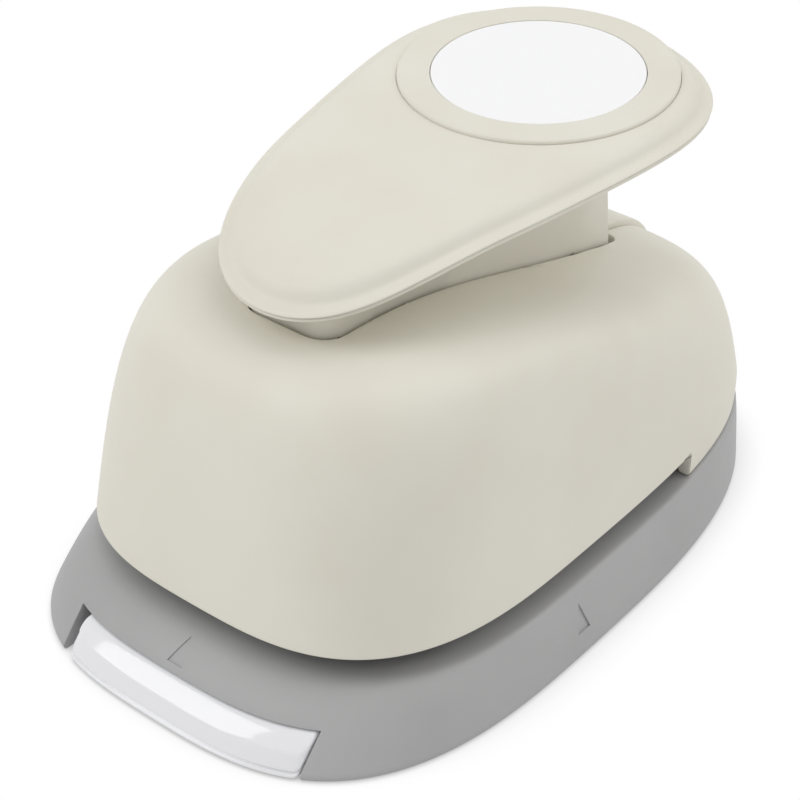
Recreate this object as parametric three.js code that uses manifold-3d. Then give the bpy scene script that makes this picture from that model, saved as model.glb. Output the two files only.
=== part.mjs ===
// Lever craft punch that cuts a round disc of paper, 2 inches across.
// Millimetres, +Z up, origin at the middle of the footprint on the table.
// -Y is the front, where the paper goes in, and +X is the right-hand side.
import * as THREE from 'three';
import { mergeVertices } from 'three/addons/utils/BufferGeometryUtils.js';
import Module from 'manifold-3d';

const wasm = await Module();
wasm.setup();

// Running gaps and cutter overrun
const seatGap = 0.2;
const plateGap = 0.1;
const slideGap = 0.3;
const visibleGap = 0.4;
const overrun = 3;
const weldDistance = 1e-5;

// Round blade, the size of the disc that it cuts, and the posts around it
const punchRadius = 25.4;
const punchY = -10;
const dieClearance = 0.1;
const circleSteps = 40;
const postStandOff = 4.75;
const postAngle = THREE.MathUtils.degToRad(40.3);
const postRadius = 1.9;
const postHeadRadius = 3.2;
const postHeadThickness = 1.4;
const earRadius = 4.6;
const postX = (punchRadius + postStandOff) * Math.cos(postAngle);
const postSpread = (punchRadius + postStandOff) * Math.sin(postAngle);

// Foot of the pivot frame, in front of the blade
const frameBladeGap = 1.6;
const frameFootDepth = 9.5;
const frameFootSetIn = 0.5;
const frameFootRearY = punchY - punchRadius - frameBladeGap;
const frameFootFrontY = frameFootRearY - frameFootDepth;

// Steel plates with the paper slot between them
const plateSideBand = 3.6;
const plateRearBand = 12.6;
const plateFrontCorner = 16;
const plateRearCorner = 5;
const plateThickness = 2;
const plateStandProud = 0.5;
const paperSlot = 1.2;
const guideFrontLead = 3;
const stopDepth = 9;
const chipHoleMargin = 1.6;
const plateHalfWidth = punchRadius + plateSideBand;
const plateFrontY = frameFootFrontY - frameFootSetIn + guideFrontLead;
const plateRearY = punchY + punchRadius + plateRearBand;

// Deck, and the footprint that its sides slope down to: blunter at the front than at the back
const deckSideBand = 7;
const deckFrontBand = 6;
const deckRearBand = 33.2;
const sideSlope = 4;
const frontSlope = 12;
const rearSlope = 0.8;
const widestY = -7;
const frontSquareness = 3.05;
const rearSquareness = 2.85;
const deckRearSquareness = 3.3;
const outlineSteps = 44;
const deckHalfWidth = plateHalfWidth + deckSideBand;
const deckFrontReach = widestY - plateFrontY + deckFrontBand;
const deckRearReach = plateRearY + deckRearBand - widestY;
const baseHalfWidth = deckHalfWidth + sideSlope;
const baseFrontReach = deckFrontReach + frontSlope;
const baseRearReach = deckRearReach + rearSlope;

// Base shell
const deckHeight = 10.7;
const deckThickness = 2.4;
const rimWidth = 2.6;
const rimEdge = 0.6;
const rimEdgeRise = 0.8;
const slopeHeightShares = [0, 0.45, 0.8, 0.93, 0.985, 1];
const slopeInsetShares = [0, 0.3, 0.6, 0.76, 0.88, 1];
const ledgeThickness = 1.9;
const ledgeMargin = 3;
const diePlateTop = deckHeight + plateStandProud;
const diePlateBottom = diePlateTop - plateThickness;
const pocketFloor = diePlateBottom - seatGap;
const ledgeBottom = pocketFloor - ledgeThickness;
const cavityTop = deckHeight - deckThickness;
const guidePlateBottom = diePlateTop + paperSlot;
const guidePlateTop = guidePlateBottom + plateThickness;

// Cover shell
const coverInset = 0.1;
const coverFrontOverhang = 2.4;
const coverWall = 2.2;
const coverEdgeLift = 0.8;
const coverStepY = 24.4;
const domeHeight = 37.8;
const crownFall = 17;
const crownFrontY = -32;
const crownRearY = 58;
const domeFrontPower = 9;
const domeRearPower = 15.5;
const domeRise = 1.08;
const domeRingShares = [1, 0.992, 0.978, 0.96, 0.935, 0.905, 0.865, 0.81, 0.73, 0.58, 0.3];
const insideRingShares = [1, 0.98, 0.945, 0.89, 0.8, 0.6, 0.3];
const coverHalfWidth = deckHalfWidth - coverInset;
const coverFrontReach = deckFrontReach + coverFrontOverhang;
const coverRearReach = deckRearReach - coverInset;
const coverRearY = widestY + coverRearReach;
const coverSkirtBottom = deckHeight + seatGap;
const coverEdgeHeight = guidePlateTop + coverEdgeLift;
const crownHeight = coverEdgeHeight + domeHeight;

// Raised ring and the sample disc let into it
const ringRadius = 21.6;
const ringBand = 5.2;
const ringThickness = 1.5;
const ringProud = 0.6;
const sampleThickness = 0.8;
const sampleSunk = 0.1;
const sampleRadius = ringRadius - ringBand;

// Lever seen from above: an egg, and from the side: flat at the back, drooping to the front
const leverRise = 16.2;
const leverTilt = THREE.MathUtils.degToRad(3.6);
const leverSideBand = 3.1;
const leverRearBand = 2.7;
const leverLength = 88.1;
const leverMidY = 7.1;
const leverBulgeShares = [0.33, 0.42, 0.08, -0.137, -0.275];
const leverDroop = 5.5;
const droopStart = 35.5;
const capDepth = 2.5;
const capSkin = 2;
const capWall = 1.8;
const capRound = 2;
const capRoundSteps = 4;
const lipThickness = 1;
const lipInset = 0.15;
const leverSteps = 42;
const leverFillShares = [0.7, 0.35];
const leverHalfWidth = ringRadius + leverSideBand;
const discY = leverMidY + leverLength / 2 - leverRearBand - ringRadius;
const discHeight = crownHeight + leverRise;

// Lever pivot and the frame that holds it
const pivotY = -25;
const pivotDepth = 9;
const pinRadius = 2.4;
const bushWall = 1.1;
const bushFlange = 0.8;
const bushFlangeRim = 1.2;
const cheekThickness = 3;
const cheekRadius = 5;
const frameKneeDrop = 11;
const frameWebThickness = 2.5;
const frameFootThickness = 3;
const clipThickness = 0.8;
const clipRim = 1.9;
const clipStandOff = 0.25;
const clipSlit = 2.6;
const pivotHeight = crownHeight - pivotDepth;
const frameKneeHeight = pivotHeight - frameKneeDrop;

// Stem: the box under the lever that goes down through the cover's slot, around the pin
const stemHalfWidth = 8;
const stemWall = 2;
const stemFrontLead = 7;
const stemRearY = 39;
const stemRearLean = 5.3;
const stemCorner = 3.5;
const stemDepthFront = 7;
const stemDepthMiddle = 4;
const stemDepthRear = 10.5;
const stemMiddleStart = 8;
const stemMiddleRearInset = 19;
const stemRearFootInset = 11;
const slotGap = 0.5;
const slotRearGap = 2;
const stemFrontY = pivotY - stemFrontLead;
const stemMiddleFrontY = pivotY + stemMiddleStart;
const stemMiddleRearY = stemRearY - stemMiddleRearInset;
const stemRearFootY = stemRearY - stemRearFootInset;
const stemBottomFront = pivotHeight - stemDepthFront;
const stemBottomMiddle = pivotHeight - stemDepthMiddle;
const stemBottomRear = pivotHeight - stemDepthRear;
const cheekInner = stemHalfWidth + bushFlange + plateGap * 2;
const cheekOuter = cheekInner + cheekThickness;

// Rear spine, which stands a little proud of the cover behind the slot
const spineHalfWidth = 4.7;
const spineProud = 0.85;
const spineGap = 0.3;
const spineWall = 2.2;

// Roller in the stem that pushes the carrier down
const rollerReach = 15;
const pressAngle = THREE.MathUtils.degToRad(17);
const rollerRadius = 4;
const rollerSideGap = 2.2;
const rollerPinRadius = 1.5;
const rollerHalfWidth = stemHalfWidth - stemWall - rollerSideGap;
const rollerY = pivotY + rollerReach * Math.cos(pressAngle / 2);
const rollerHeight = pivotHeight + rollerReach * Math.sin(pressAngle / 2);

// Blade, carrier and springs
const bladeWall = 2;
const bladeTop = 2;
const bladeHeight = 13;
const bladeRest = 0.4;
const carrierThickness = 4;
const columnSideGap = 1.4;
const columnHalfDepth = 6.5;
const wearThickness = 1.2;
const springStandOff = 1.1;
const wireRadius = 0.25;
const springCurls = 5;
const springStepsPerCurl = 8;
const springSides = 5;
const bladeScrewInset = 9.4;
const bladeScrewCount = 3;
const bladeBottom = guidePlateBottom + bladeRest;
const bladeTopZ = bladeBottom + bladeHeight;
const carrierBottom = bladeTopZ + seatGap;
const carrierTop = carrierBottom + carrierThickness;
const carrierFrontY = punchY - postSpread - earRadius;
const columnHalfWidth = stemHalfWidth - stemWall - columnSideGap;
const wearTop = rollerHeight - rollerRadius - slideGap;
const columnTop = wearTop - wearThickness - seatGap;
const springRadius = postRadius + springStandOff;
const bladeScrewCircle = punchRadius - bladeScrewInset;

// Screws and rivets
const screwRadius = 1.4;
const screwHeadRadius = 2.7;
const screwHeadThickness = 1.6;
const screwGrip = 6;
const driveRadius = 1.1;
const driveDepth = 0.8;
const driveSides = 6;
const bossRadius = 3.4;
const rivetRadius = 2;
const rivetHeadRadius = 3.2;
const rivetHeadThickness = 1;
const rivetSideInset = 7;
const dieScrewSideInset = 4.5;
const dieScrewFrontInset = 7.5;
const dieScrewRearInset = 13.5;
const coverScrewSideInset = 5;
const frameScrewSideInset = 8.5;
const frameFootSideBand = 3.5;
const frameScrewRearInset = 4.5;
const rearScrewSideInset = 11.9;
const rearScrewInset = 21.1;
const spineScrewInset = 10.6;
const roundSteps = 16;
const cornerSteps = 6;
const rivetX = plateHalfWidth - rivetSideInset;
const rivetY = plateRearY - stopDepth / 2;
const dieScrewX = plateHalfWidth - dieScrewSideInset;
const dieScrewFrontY = plateFrontY + dieScrewFrontInset;
const dieScrewRearY = plateRearY - dieScrewRearInset;
const frontCoverScrewX = plateHalfWidth - coverScrewSideInset;
const frontCoverScrewY = carrierFrontY - bossRadius - visibleGap;
const frameScrewX = frontCoverScrewX - frameScrewSideInset;
const frameScrewY = frameFootRearY - frameScrewRearInset;
const frameFootHalfWidth = frameScrewX + frameFootSideBand;
const rearCoverScrewX = coverHalfWidth - rearScrewSideInset;
const rearCoverScrewY = coverRearY - rearScrewInset;
const spineScrewY = coverRearY - spineScrewInset;

// Clear tray that closes the underside and shows in the front notch
const notchLeftReach = 20.4;
const notchRightReach = 24.3;
const notchTop = 6.2;
const fingerGap = 2;
const trayLift = 0.6;
const trayFloor = 1.5;
const trayRimTop = 4.8;
const trayRimWall = 1.3;
const trayBarWall = 2;
const trayBarFoot = 0.3;
const trayRidgeHeight = 3.9;
const trayRidgeShare = 0.14;
const hingeRearInset = 10;
const hingeHeight = 3.9;
const stubRadius = 1.5;
const stubLength = 3;
const earThickness = 2.4;
const hingeEarX = 15;
const lugWall = 1.4;
const hingeY = widestY + baseRearReach - hingeRearInset;

// Arrow marks that point at the middle of the cut
const markLength = 4.6;
const markHalfWidth = 1.5;
const markDepth = 0.35;
const sideMarkLow = 4.2;
const sideMarkHigh = 8.4;
const frontMarkGap = 0.5;

// Solids from three.js geometries, and back
function toSolid(geometry) {
  const bare = new THREE.BufferGeometry();
  bare.setAttribute('position', geometry.getAttribute('position').clone());
  if (geometry.index) bare.setIndex(geometry.index.clone());
  const merged = mergeVertices(bare, weldDistance);
  const mesh = new wasm.Mesh({
    numProp: 3,
    vertProperties: new Float32Array(merged.getAttribute('position').array),
    triVerts: new Uint32Array(merged.index.array),
  });
  return new wasm.Manifold(mesh);
}

function toGeometry(solid) {
  const mesh = solid.getMesh();
  const geometry = new THREE.BufferGeometry();
  geometry.setAttribute('position', new THREE.BufferAttribute(new Float32Array(mesh.vertProperties), 3));
  geometry.setIndex(new THREE.BufferAttribute(new Uint32Array(mesh.triVerts), 1));
  geometry.computeVertexNormals();
  return geometry;
}

function signedVolume(points, faces) {
  let volume = 0;
  for (const [a, b, c] of faces) {
    volume += points[a].dot(points[b].clone().cross(points[c])) / 6;
  }
  return volume;
}

function facesToGeometry(points, faces) {
  const turned = signedVolume(points, faces) < 0 ? faces.map(([a, b, c]) => [a, c, b]) : faces;
  const geometry = new THREE.BufferGeometry();
  const flat = points.flatMap((p) => [p.x, p.y, p.z]);
  geometry.setAttribute('position', new THREE.Float32BufferAttribute(flat, 3));
  geometry.setIndex(turned.flat());
  return geometry;
}

// Rings of equal count joined one to the next, with both ends closed by fans
function loft(rings) {
  const count = rings[0].length;
  const points = rings.flat();
  const faces = [];
  for (let r = 0; r + 1 < rings.length; r += 1) {
    for (let i = 0; i < count; i += 1) {
      const j = (i + 1) % count;
      const a = r * count + i;
      const b = r * count + j;
      faces.push([a, b, b + count], [a, b + count, a + count]);
    }
  }
  for (const last of [false, true]) {
    const start = last ? (rings.length - 1) * count : 0;
    const ring = last ? rings[rings.length - 1] : rings[0];
    const centre = ring.reduce((sum, p) => sum.add(p), new THREE.Vector3()).divideScalar(count);
    points.push(centre);
    for (let i = 0; i < count; i += 1) {
      const a = start + i;
      const b = start + ((i + 1) % count);
      faces.push(last ? [a, b, points.length - 1] : [b, a, points.length - 1]);
    }
  }
  return facesToGeometry(points, faces);
}

function boxSolid(x0, x1, y0, y1, z0, z1) {
  const geometry = new THREE.BoxGeometry(x1 - x0, y1 - y0, z1 - z0);
  geometry.translate((x0 + x1) / 2, (y0 + y1) / 2, (z0 + z1) / 2);
  return toSolid(geometry);
}

function uprightCylinder(radius, x, y, z0, z1, steps = roundSteps, topRadius = radius) {
  const geometry = new THREE.CylinderGeometry(topRadius, radius, z1 - z0, steps);
  geometry.rotateX(Math.PI / 2);
  geometry.translate(x, y, (z0 + z1) / 2);
  return toSolid(geometry);
}

function crossCylinder(radius, x0, x1, y, z, steps = roundSteps) {
  const geometry = new THREE.CylinderGeometry(radius, radius, x1 - x0, steps);
  geometry.rotateZ(-Math.PI / 2);
  geometry.translate((x0 + x1) / 2, y, z);
  return toSolid(geometry);
}

// A side view outline in Y and Z, made solid from x0 to x1
function sideProfile(outline, x0, x1) {
  const shape = new THREE.Shape(outline.map(([y, z]) => new THREE.Vector2(y, z)));
  const geometry = new THREE.ExtrudeGeometry(shape, { depth: x1 - x0, bevelEnabled: false });
  const across = new THREE.Vector3(1, 0, 0);
  const along = new THREE.Vector3(0, 1, 0);
  const up = new THREE.Vector3(0, 0, 1);
  geometry.applyMatrix4(new THREE.Matrix4().makeBasis(along, up, across));
  geometry.translate(x0, 0, 0);
  return toSolid(geometry);
}

// A plan outline in X and Y, made solid from z0 to z1
function planSolid(shape, z0, z1) {
  const geometry = new THREE.ExtrudeGeometry(shape, {
    depth: z1 - z0, bevelEnabled: false, curveSegments: cornerSteps,
  });
  geometry.translate(0, 0, z0);
  return toSolid(geometry);
}

function roundedPlan(halfWidth, y0, y1, frontCorner, rearCorner) {
  const shape = new THREE.Shape();
  shape.moveTo(-halfWidth + frontCorner, y0);
  shape.lineTo(halfWidth - frontCorner, y0);
  shape.absarc(halfWidth - frontCorner, y0 + frontCorner, frontCorner, -Math.PI / 2, 0, false);
  shape.absarc(halfWidth - rearCorner, y1 - rearCorner, rearCorner, 0, Math.PI / 2, false);
  shape.absarc(-halfWidth + rearCorner, y1 - rearCorner, rearCorner, Math.PI / 2, Math.PI, false);
  shape.absarc(-halfWidth + frontCorner, y0 + frontCorner, frontCorner, Math.PI, Math.PI * 1.5, false);
  return shape;
}

// Footprint outlines
function planPoint(turn, half, front, rear, rearSquare) {
  const c = Math.cos(turn);
  const s = Math.sin(turn);
  const power = 2 / (s < 0 ? frontSquareness : rearSquare);
  const reach = s < 0 ? front : rear;
  const x = half * Math.sign(c) * Math.abs(c) ** power;
  const y = widestY + reach * Math.sign(s) * Math.abs(s) ** power;
  return new THREE.Vector2(x, y);
}

function coverRing(inward, height) {
  return Array.from({ length: outlineSteps }, (_, i) => {
    const p = planPoint(
      (i / outlineSteps) * Math.PI * 2, coverHalfWidth - inward, coverFrontReach - inward,
      coverRearReach - inward, deckRearSquareness,
    );
    return new THREE.Vector3(p.x, p.y, height);
  });
}

// A ring of the base, between the outline on the table and the outline of the deck
function baseRing(inward, slopeShare, height, rearReach = baseRearReach) {
  const shorter = baseRearReach - rearReach;
  return Array.from({ length: outlineSteps }, (_, i) => {
    const turn = (i / outlineSteps) * Math.PI * 2;
    const foot = planPoint(
      turn, baseHalfWidth - inward, baseFrontReach - inward, rearReach - inward, rearSquareness,
    );
    const deck = planPoint(
      turn, deckHalfWidth - inward, deckFrontReach - inward, deckRearReach - shorter - inward,
      deckRearSquareness,
    );
    const p = foot.lerp(deck, slopeShare);
    return new THREE.Vector3(p.x, p.y, height);
  });
}

// Base: a shell with sloping sides and a flat deck
function baseRings(inward) {
  const slope = slopeHeightShares.map((rise, i) => baseRing(
    inward, slopeInsetShares[i], rimEdgeRise + (deckHeight - rimEdgeRise) * rise,
  ));
  return [baseRing(inward + rimEdge, 0, 0), ...slope];
}

// How far the outer slope has come in at a height, as a share of the way to the deck's outline
function slopeInset(height) {
  const share = (height - rimEdgeRise) / (deckHeight - rimEdgeRise);
  const k = slopeHeightShares.findIndex((s) => s >= share);
  const t = (share - slopeHeightShares[k - 1]) / (slopeHeightShares[k] - slopeHeightShares[k - 1]);
  return slopeInsetShares[k - 1] + (slopeInsetShares[k] - slopeInsetShares[k - 1]) * t;
}

// The hollow under the deck narrows in one straight slope
function cavityRing(inward, height, rearReach = baseRearReach) {
  const rise = Math.max(0, height - rimEdgeRise) / (cavityTop - rimEdgeRise);
  return baseRing(rimWidth + rimEdge + inward, rise * slopeInset(cavityTop), height, rearReach);
}

function baseCavity() {
  return toSolid(loft([cavityRing(0, -overrun), cavityRing(0, rimEdgeRise), cavityRing(0, cavityTop)]));
}

function platePlan(grow, lead = 0) {
  return roundedPlan(
    plateHalfWidth + grow, plateFrontY - lead - grow, plateRearY + grow,
    plateFrontCorner + grow, plateRearCorner + grow,
  );
}

const dieScrewPlaces = [-1, 1].flatMap((side) => [
  [side * dieScrewX, dieScrewFrontY],
  [side * dieScrewX, dieScrewRearY],
]);

// A mark is a shallow triangular recess, laid on the slope from the low point to the high point
function markCutter(low, high) {
  const up = high.clone().sub(low).normalize();
  const across = up.clone().cross(new THREE.Vector3(0, 0, 1)).normalize();
  const out = across.clone().cross(up);
  const outline = new THREE.Shape([
    new THREE.Vector2(-markHalfWidth, -markLength / 2),
    new THREE.Vector2(markHalfWidth, -markLength / 2),
    new THREE.Vector2(0, markLength / 2),
  ]);
  const geometry = new THREE.ExtrudeGeometry(outline, { depth: markDepth * 2, bevelEnabled: false });
  geometry.translate(0, 0, -markDepth);
  geometry.applyMatrix4(new THREE.Matrix4().makeBasis(across, up, out));
  const middle = low.clone().add(high).multiplyScalar(0.5);
  geometry.translate(middle.x, middle.y, middle.z);
  return toSolid(geometry);
}

// Points on the base's outer slope, beside the cut and on the middle line
function sideSlopePoint(side, height) {
  const inset = slopeInset(height);
  const half = THREE.MathUtils.lerp(baseHalfWidth, deckHalfWidth, inset);
  const front = THREE.MathUtils.lerp(baseFrontReach, deckFrontReach, inset);
  const away = Math.abs(punchY - widestY) / front;
  const narrowing = (1 - away ** frontSquareness) ** (1 / frontSquareness);
  return new THREE.Vector3(side * half * narrowing, punchY, height);
}

function frontSlopePoint(height) {
  const front = THREE.MathUtils.lerp(baseFrontReach, deckFrontReach, slopeInset(height));
  return new THREE.Vector3(0, widestY - front, height);
}

function hingeLugs() {
  const lugOuter = stubRadius + slideGap + lugWall;
  const inner = hingeEarX + earThickness / 2 + slideGap;
  const outer = inner + stubLength + seatGap;
  return [-1, 1].map((side) => {
    const x0 = side > 0 ? inner : -outer;
    const x1 = side > 0 ? outer : -inner;
    const block = boxSolid(
      x0, x1, hingeY - lugOuter, hingeY + lugOuter, hingeHeight, deckHeight - deckThickness / 2,
    );
    return block.add(crossCylinder(lugOuter, x0, x1, hingeY, hingeHeight));
  });
}

function makeBaseShell() {
  let base = toSolid(loft(baseRings(0))).subtract(baseCavity());
  base = base.add(planSolid(platePlan(ledgeMargin), ledgeBottom, pocketFloor + seatGap));
  base = base.subtract(planSolid(platePlan(slideGap), pocketFloor, deckHeight + overrun));
  base = base.subtract(
    uprightCylinder(punchRadius + chipHoleMargin, 0, punchY, -overrun, deckHeight, circleSteps),
  );
  const notchFront = widestY - baseFrontReach - overrun;
  const notch = boxSolid(-notchLeftReach, notchRightReach, notchFront, punchY, -overrun, notchTop);
  base = base.subtract(notch.subtract(toSolid(loft(baseRings(rimWidth + rimEdge + seatGap)))));
  for (const lug of hingeLugs()) base = base.add(lug);
  const lugFar = hingeEarX + earThickness / 2 + slideGap + stubLength + seatGap + overrun;
  for (const side of [-1, 1]) {
    const x0 = side > 0 ? hingeEarX : -lugFar;
    const x1 = side > 0 ? lugFar : -hingeEarX;
    base = base.subtract(crossCylinder(stubRadius + slideGap / 2, x0, x1, hingeY, hingeHeight));
  }
  for (const [x, y] of dieScrewPlaces) {
    base = base.subtract(uprightCylinder(screwRadius + slideGap, x, y, 0, deckHeight + overrun));
  }
  for (const side of [-1, 1]) {
    const hole = uprightCylinder(
      screwRadius + slideGap, side * rearCoverScrewX, rearCoverScrewY, 0, deckHeight + overrun,
    );
    base = base.subtract(hole);
    const well = uprightCylinder(
      rivetHeadRadius + slideGap, side * rivetX, rivetY, 0, deckHeight + overrun,
    );
    base = base.subtract(well);
    base = base.subtract(markCutter(sideSlopePoint(side, sideMarkLow), sideSlopePoint(side, sideMarkHigh)));
  }
  base = base.subtract(uprightCylinder(screwRadius + slideGap, 0, spineScrewY, 0, deckHeight + overrun));
  const markFoot = frontSlopePoint(notchTop + frontMarkGap);
  base = base.subtract(markCutter(markFoot, frontSlopePoint(deckHeight - frontMarkGap)));
  return toGeometry(base);
}

// Steel plates, the spacer between them and the rivets through them
function makeDiePlate() {
  let plate = planSolid(platePlan(0), diePlateBottom, diePlateTop);
  plate = plate.subtract(
    uprightCylinder(punchRadius + dieClearance, 0, punchY, 0, diePlateTop + overrun, circleSteps),
  );
  for (const [x, y] of dieScrewPlaces) {
    plate = plate.subtract(uprightCylinder(screwRadius + plateGap, x, y, 0, diePlateTop + overrun));
  }
  for (const side of [-1, 1]) {
    plate = plate.subtract(uprightCylinder(
      rivetRadius + plateGap, side * rivetX, rivetY, 0, diePlateTop + overrun,
    ));
  }
  return toGeometry(plate);
}

function makePaperStop() {
  const shape = roundedPlan(
    plateHalfWidth, plateRearY - stopDepth, plateRearY, plateRearCorner / 2, plateRearCorner / 2,
  );
  let stop = planSolid(shape, diePlateTop + plateGap, guidePlateBottom - plateGap);
  for (const side of [-1, 1]) {
    stop = stop.subtract(uprightCylinder(
      rivetRadius + plateGap, side * rivetX, rivetY, 0, guidePlateTop,
    ));
  }
  return toGeometry(stop);
}

const postPlaces = [-1, 1].flatMap((side) => [-1, 1].map((end) => [side * postX, punchY + end * postSpread]));

function makeGuidePlate() {
  let plate = planSolid(platePlan(0, guideFrontLead), guidePlateBottom, guidePlateTop);
  const above = guidePlateTop + overrun;
  plate = plate.subtract(
    uprightCylinder(punchRadius + dieClearance, 0, punchY, 0, above, circleSteps),
  );
  for (const [x, y] of postPlaces) {
    plate = plate.subtract(uprightCylinder(postRadius + plateGap, x, y, 0, above));
  }
  for (const side of [-1, 1]) {
    plate = plate.subtract(uprightCylinder(
      rivetRadius + plateGap, side * rivetX, rivetY, 0, above,
    ));
    for (const [x, y] of [[frontCoverScrewX, frontCoverScrewY], [frameScrewX, frameScrewY]]) {
      plate = plate.subtract(uprightCylinder(screwRadius + plateGap, side * x, y, 0, above));
      plate = plate.subtract(countersunkHead(side * x, y, plateGap));
    }
  }
  return toGeometry(plate);
}

function countersunkHead(x, y, grow) {
  return uprightCylinder(
    screwHeadRadius + grow, x, y, guidePlateBottom - grow, guidePlateBottom + screwHeadThickness,
    roundSteps, screwRadius + grow,
  );
}

function makePlateRivet(side) {
  const x = side * rivetX;
  const y = rivetY;
  const low = diePlateBottom - seatGap;
  const high = guidePlateTop + seatGap;
  let rivet = uprightCylinder(rivetRadius, x, y, low - rivetHeadThickness / 2, high + rivetHeadThickness / 2);
  rivet = rivet.add(uprightCylinder(rivetHeadRadius, x, y, low - rivetHeadThickness, low));
  rivet = rivet.add(uprightCylinder(rivetHeadRadius, x, y, high, high + rivetHeadThickness));
  return toGeometry(rivet);
}

// A pan head screw that goes up from z, with a drive recess in its head
function makeUpScrew(x, y, z, length) {
  let screw = uprightCylinder(screwRadius, x, y, z - screwHeadThickness / 2, z + length);
  screw = screw.add(uprightCylinder(screwHeadRadius, x, y, z - screwHeadThickness, z));
  screw = screw.subtract(uprightCylinder(
    driveRadius, x, y, z - screwHeadThickness - overrun, z - screwHeadThickness + driveDepth, driveSides,
  ));
  return toGeometry(screw);
}

function makeCountersunkScrew(x, y, length) {
  let screw = uprightCylinder(screwRadius, x, y, guidePlateBottom + driveDepth, guidePlateTop + length);
  screw = screw.add(countersunkHead(x, y, 0));
  screw = screw.subtract(uprightCylinder(
    driveRadius, x, y, guidePlateBottom - overrun, guidePlateBottom + driveDepth, driveSides,
  ));
  return toGeometry(screw);
}

// Cover: a dome over the rounded outline, highest at the front and falling to the back
function crownAt(y) {
  const run = THREE.MathUtils.clamp((y - crownFrontY) / (crownRearY - crownFrontY), 0, 1);
  return crownHeight - (crownFall * (1 - Math.cos(Math.PI * run))) / 2;
}

function domeRing(share, inward) {
  return coverRing(inward, 0).map((p) => {
    const x = p.x * share;
    const y = widestY + (p.y - widestY) * share;
    const along = (y - widestY + coverFrontReach) / (coverFrontReach + coverRearReach);
    const rise = (1 - share ** THREE.MathUtils.lerp(domeFrontPower, domeRearPower, along)) ** domeRise;
    return new THREE.Vector3(x, y, coverEdgeHeight + (crownAt(y) - inward - coverEdgeHeight) * rise);
  });
}

function domeShell(skirtBottom, proud) {
  const outer = domeRingShares.map((share) => domeRing(share, -proud)).reverse();
  const inner = insideRingShares.map((share) => domeRing(share, coverWall));
  const skirt = [coverRing(-proud, skirtBottom), coverRing(coverWall, skirtBottom)];
  return toSolid(loft([...outer, ...skirt, ...inner]));
}

function domeInside(gap) {
  const inner = insideRingShares.map((share) => domeRing(share, coverWall + gap));
  return toSolid(loft([coverRing(coverWall + gap, -overrun), ...inner]));
}

function domeFill() {
  const outer = insideRingShares.map((share) => domeRing(share, coverWall / 2));
  return toSolid(loft([coverRing(coverWall / 2, -overrun), ...outer]));
}

function slotPlan() {
  const half = stemHalfWidth + slotGap;
  return roundedPlan(half, stemFrontY - slotGap, stemRearY + slotRearGap, stemCorner + slotGap, slotGap);
}

function makeCoverShell() {
  let cover = domeShell(coverSkirtBottom, 0);
  const reach = baseFrontReach + baseRearReach;
  cover = cover.subtract(boxSolid(-reach, reach, -reach, coverStepY, 0, coverEdgeHeight));
  const within = domeFill();
  for (const side of [-1, 1]) {
    const front = uprightCylinder(
      bossRadius, side * frontCoverScrewX, frontCoverScrewY, guidePlateTop + seatGap, crownHeight,
    );
    const rear = uprightCylinder(
      bossRadius, side * rearCoverScrewX, rearCoverScrewY, coverSkirtBottom, crownHeight,
    );
    cover = cover.add(front.intersect(within)).add(rear.intersect(within));
  }
  const hole = screwRadius + plateGap;
  const frontHoleTop = guidePlateTop + screwGrip + seatGap * 2;
  const rearHoleTop = deckHeight + screwGrip + seatGap * 2;
  for (const side of [-1, 1]) {
    cover = cover.subtract(uprightCylinder(hole, side * frontCoverScrewX, frontCoverScrewY, 0, frontHoleTop));
    cover = cover.subtract(uprightCylinder(hole, side * rearCoverScrewX, rearCoverScrewY, 0, rearHoleTop));
  }
  cover = cover.subtract(planSolid(slotPlan(), coverEdgeHeight, crownHeight + overrun));
  const channel = spineHalfWidth + spineGap;
  cover = cover.subtract(boxSolid(-channel, channel, stemRearY, coverRearY + overrun, 0, crownHeight));
  return toGeometry(cover);
}

// Grey spine that closes the slot at the back and stands on the base
function makeRearSpine() {
  const start = stemRearY + slotRearGap + spineGap;
  const band = boxSolid(-spineHalfWidth, spineHalfWidth, start, coverRearY + overrun, 0, crownHeight);
  let spine = domeShell(coverSkirtBottom, spineProud).intersect(band);
  const foot = boxSolid(
    -spineHalfWidth, spineHalfWidth, spineScrewY - bossRadius, coverRearY, coverSkirtBottom,
    coverSkirtBottom + screwGrip + spineWall,
  );
  spine = spine.add(foot.intersect(domeFill()));
  spine = spine.subtract(uprightCylinder(
    screwRadius + plateGap, 0, spineScrewY, 0, deckHeight + screwGrip + seatGap * 2,
  ));
  return toGeometry(spine);
}

// Lever surfaces
function leverOutline(inward) {
  const bulge = (s) => 1 + leverBulgeShares.reduce((sum, k, i) => sum + k * s ** (i + 1), 0);
  const points = Array.from({ length: leverSteps }, (_, i) => {
    const turn = (i / leverSteps) * Math.PI * 2;
    const s = Math.sin(turn);
    return new THREE.Vector2(leverHalfWidth * Math.cos(turn) * bulge(s), leverMidY + (leverLength / 2) * s);
  });
  return points.map((p, i) => {
    const before = points[(i + leverSteps - 1) % leverSteps];
    const after = points[(i + 1) % leverSteps];
    const along = after.clone().sub(before).normalize();
    return new THREE.Vector2(p.x - along.y * inward, p.y + along.x * inward);
  });
}

function leverTopAt(y) {
  const level = discHeight + (y - discY) * Math.tan(leverTilt);
  const front = discY - droopStart;
  const tip = leverMidY - leverLength / 2;
  const run = Math.max(0, front - y) / (front - tip);
  return level - leverDroop * run ** 2;
}

function leverRing(inward, drop, towardMiddle = 1) {
  return leverOutline(inward).map((p) => {
    const x = p.x * towardMiddle;
    const y = discY + (p.y - discY) * towardMiddle;
    return new THREE.Vector3(x, y, leverTopAt(y) - drop);
  });
}

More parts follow.
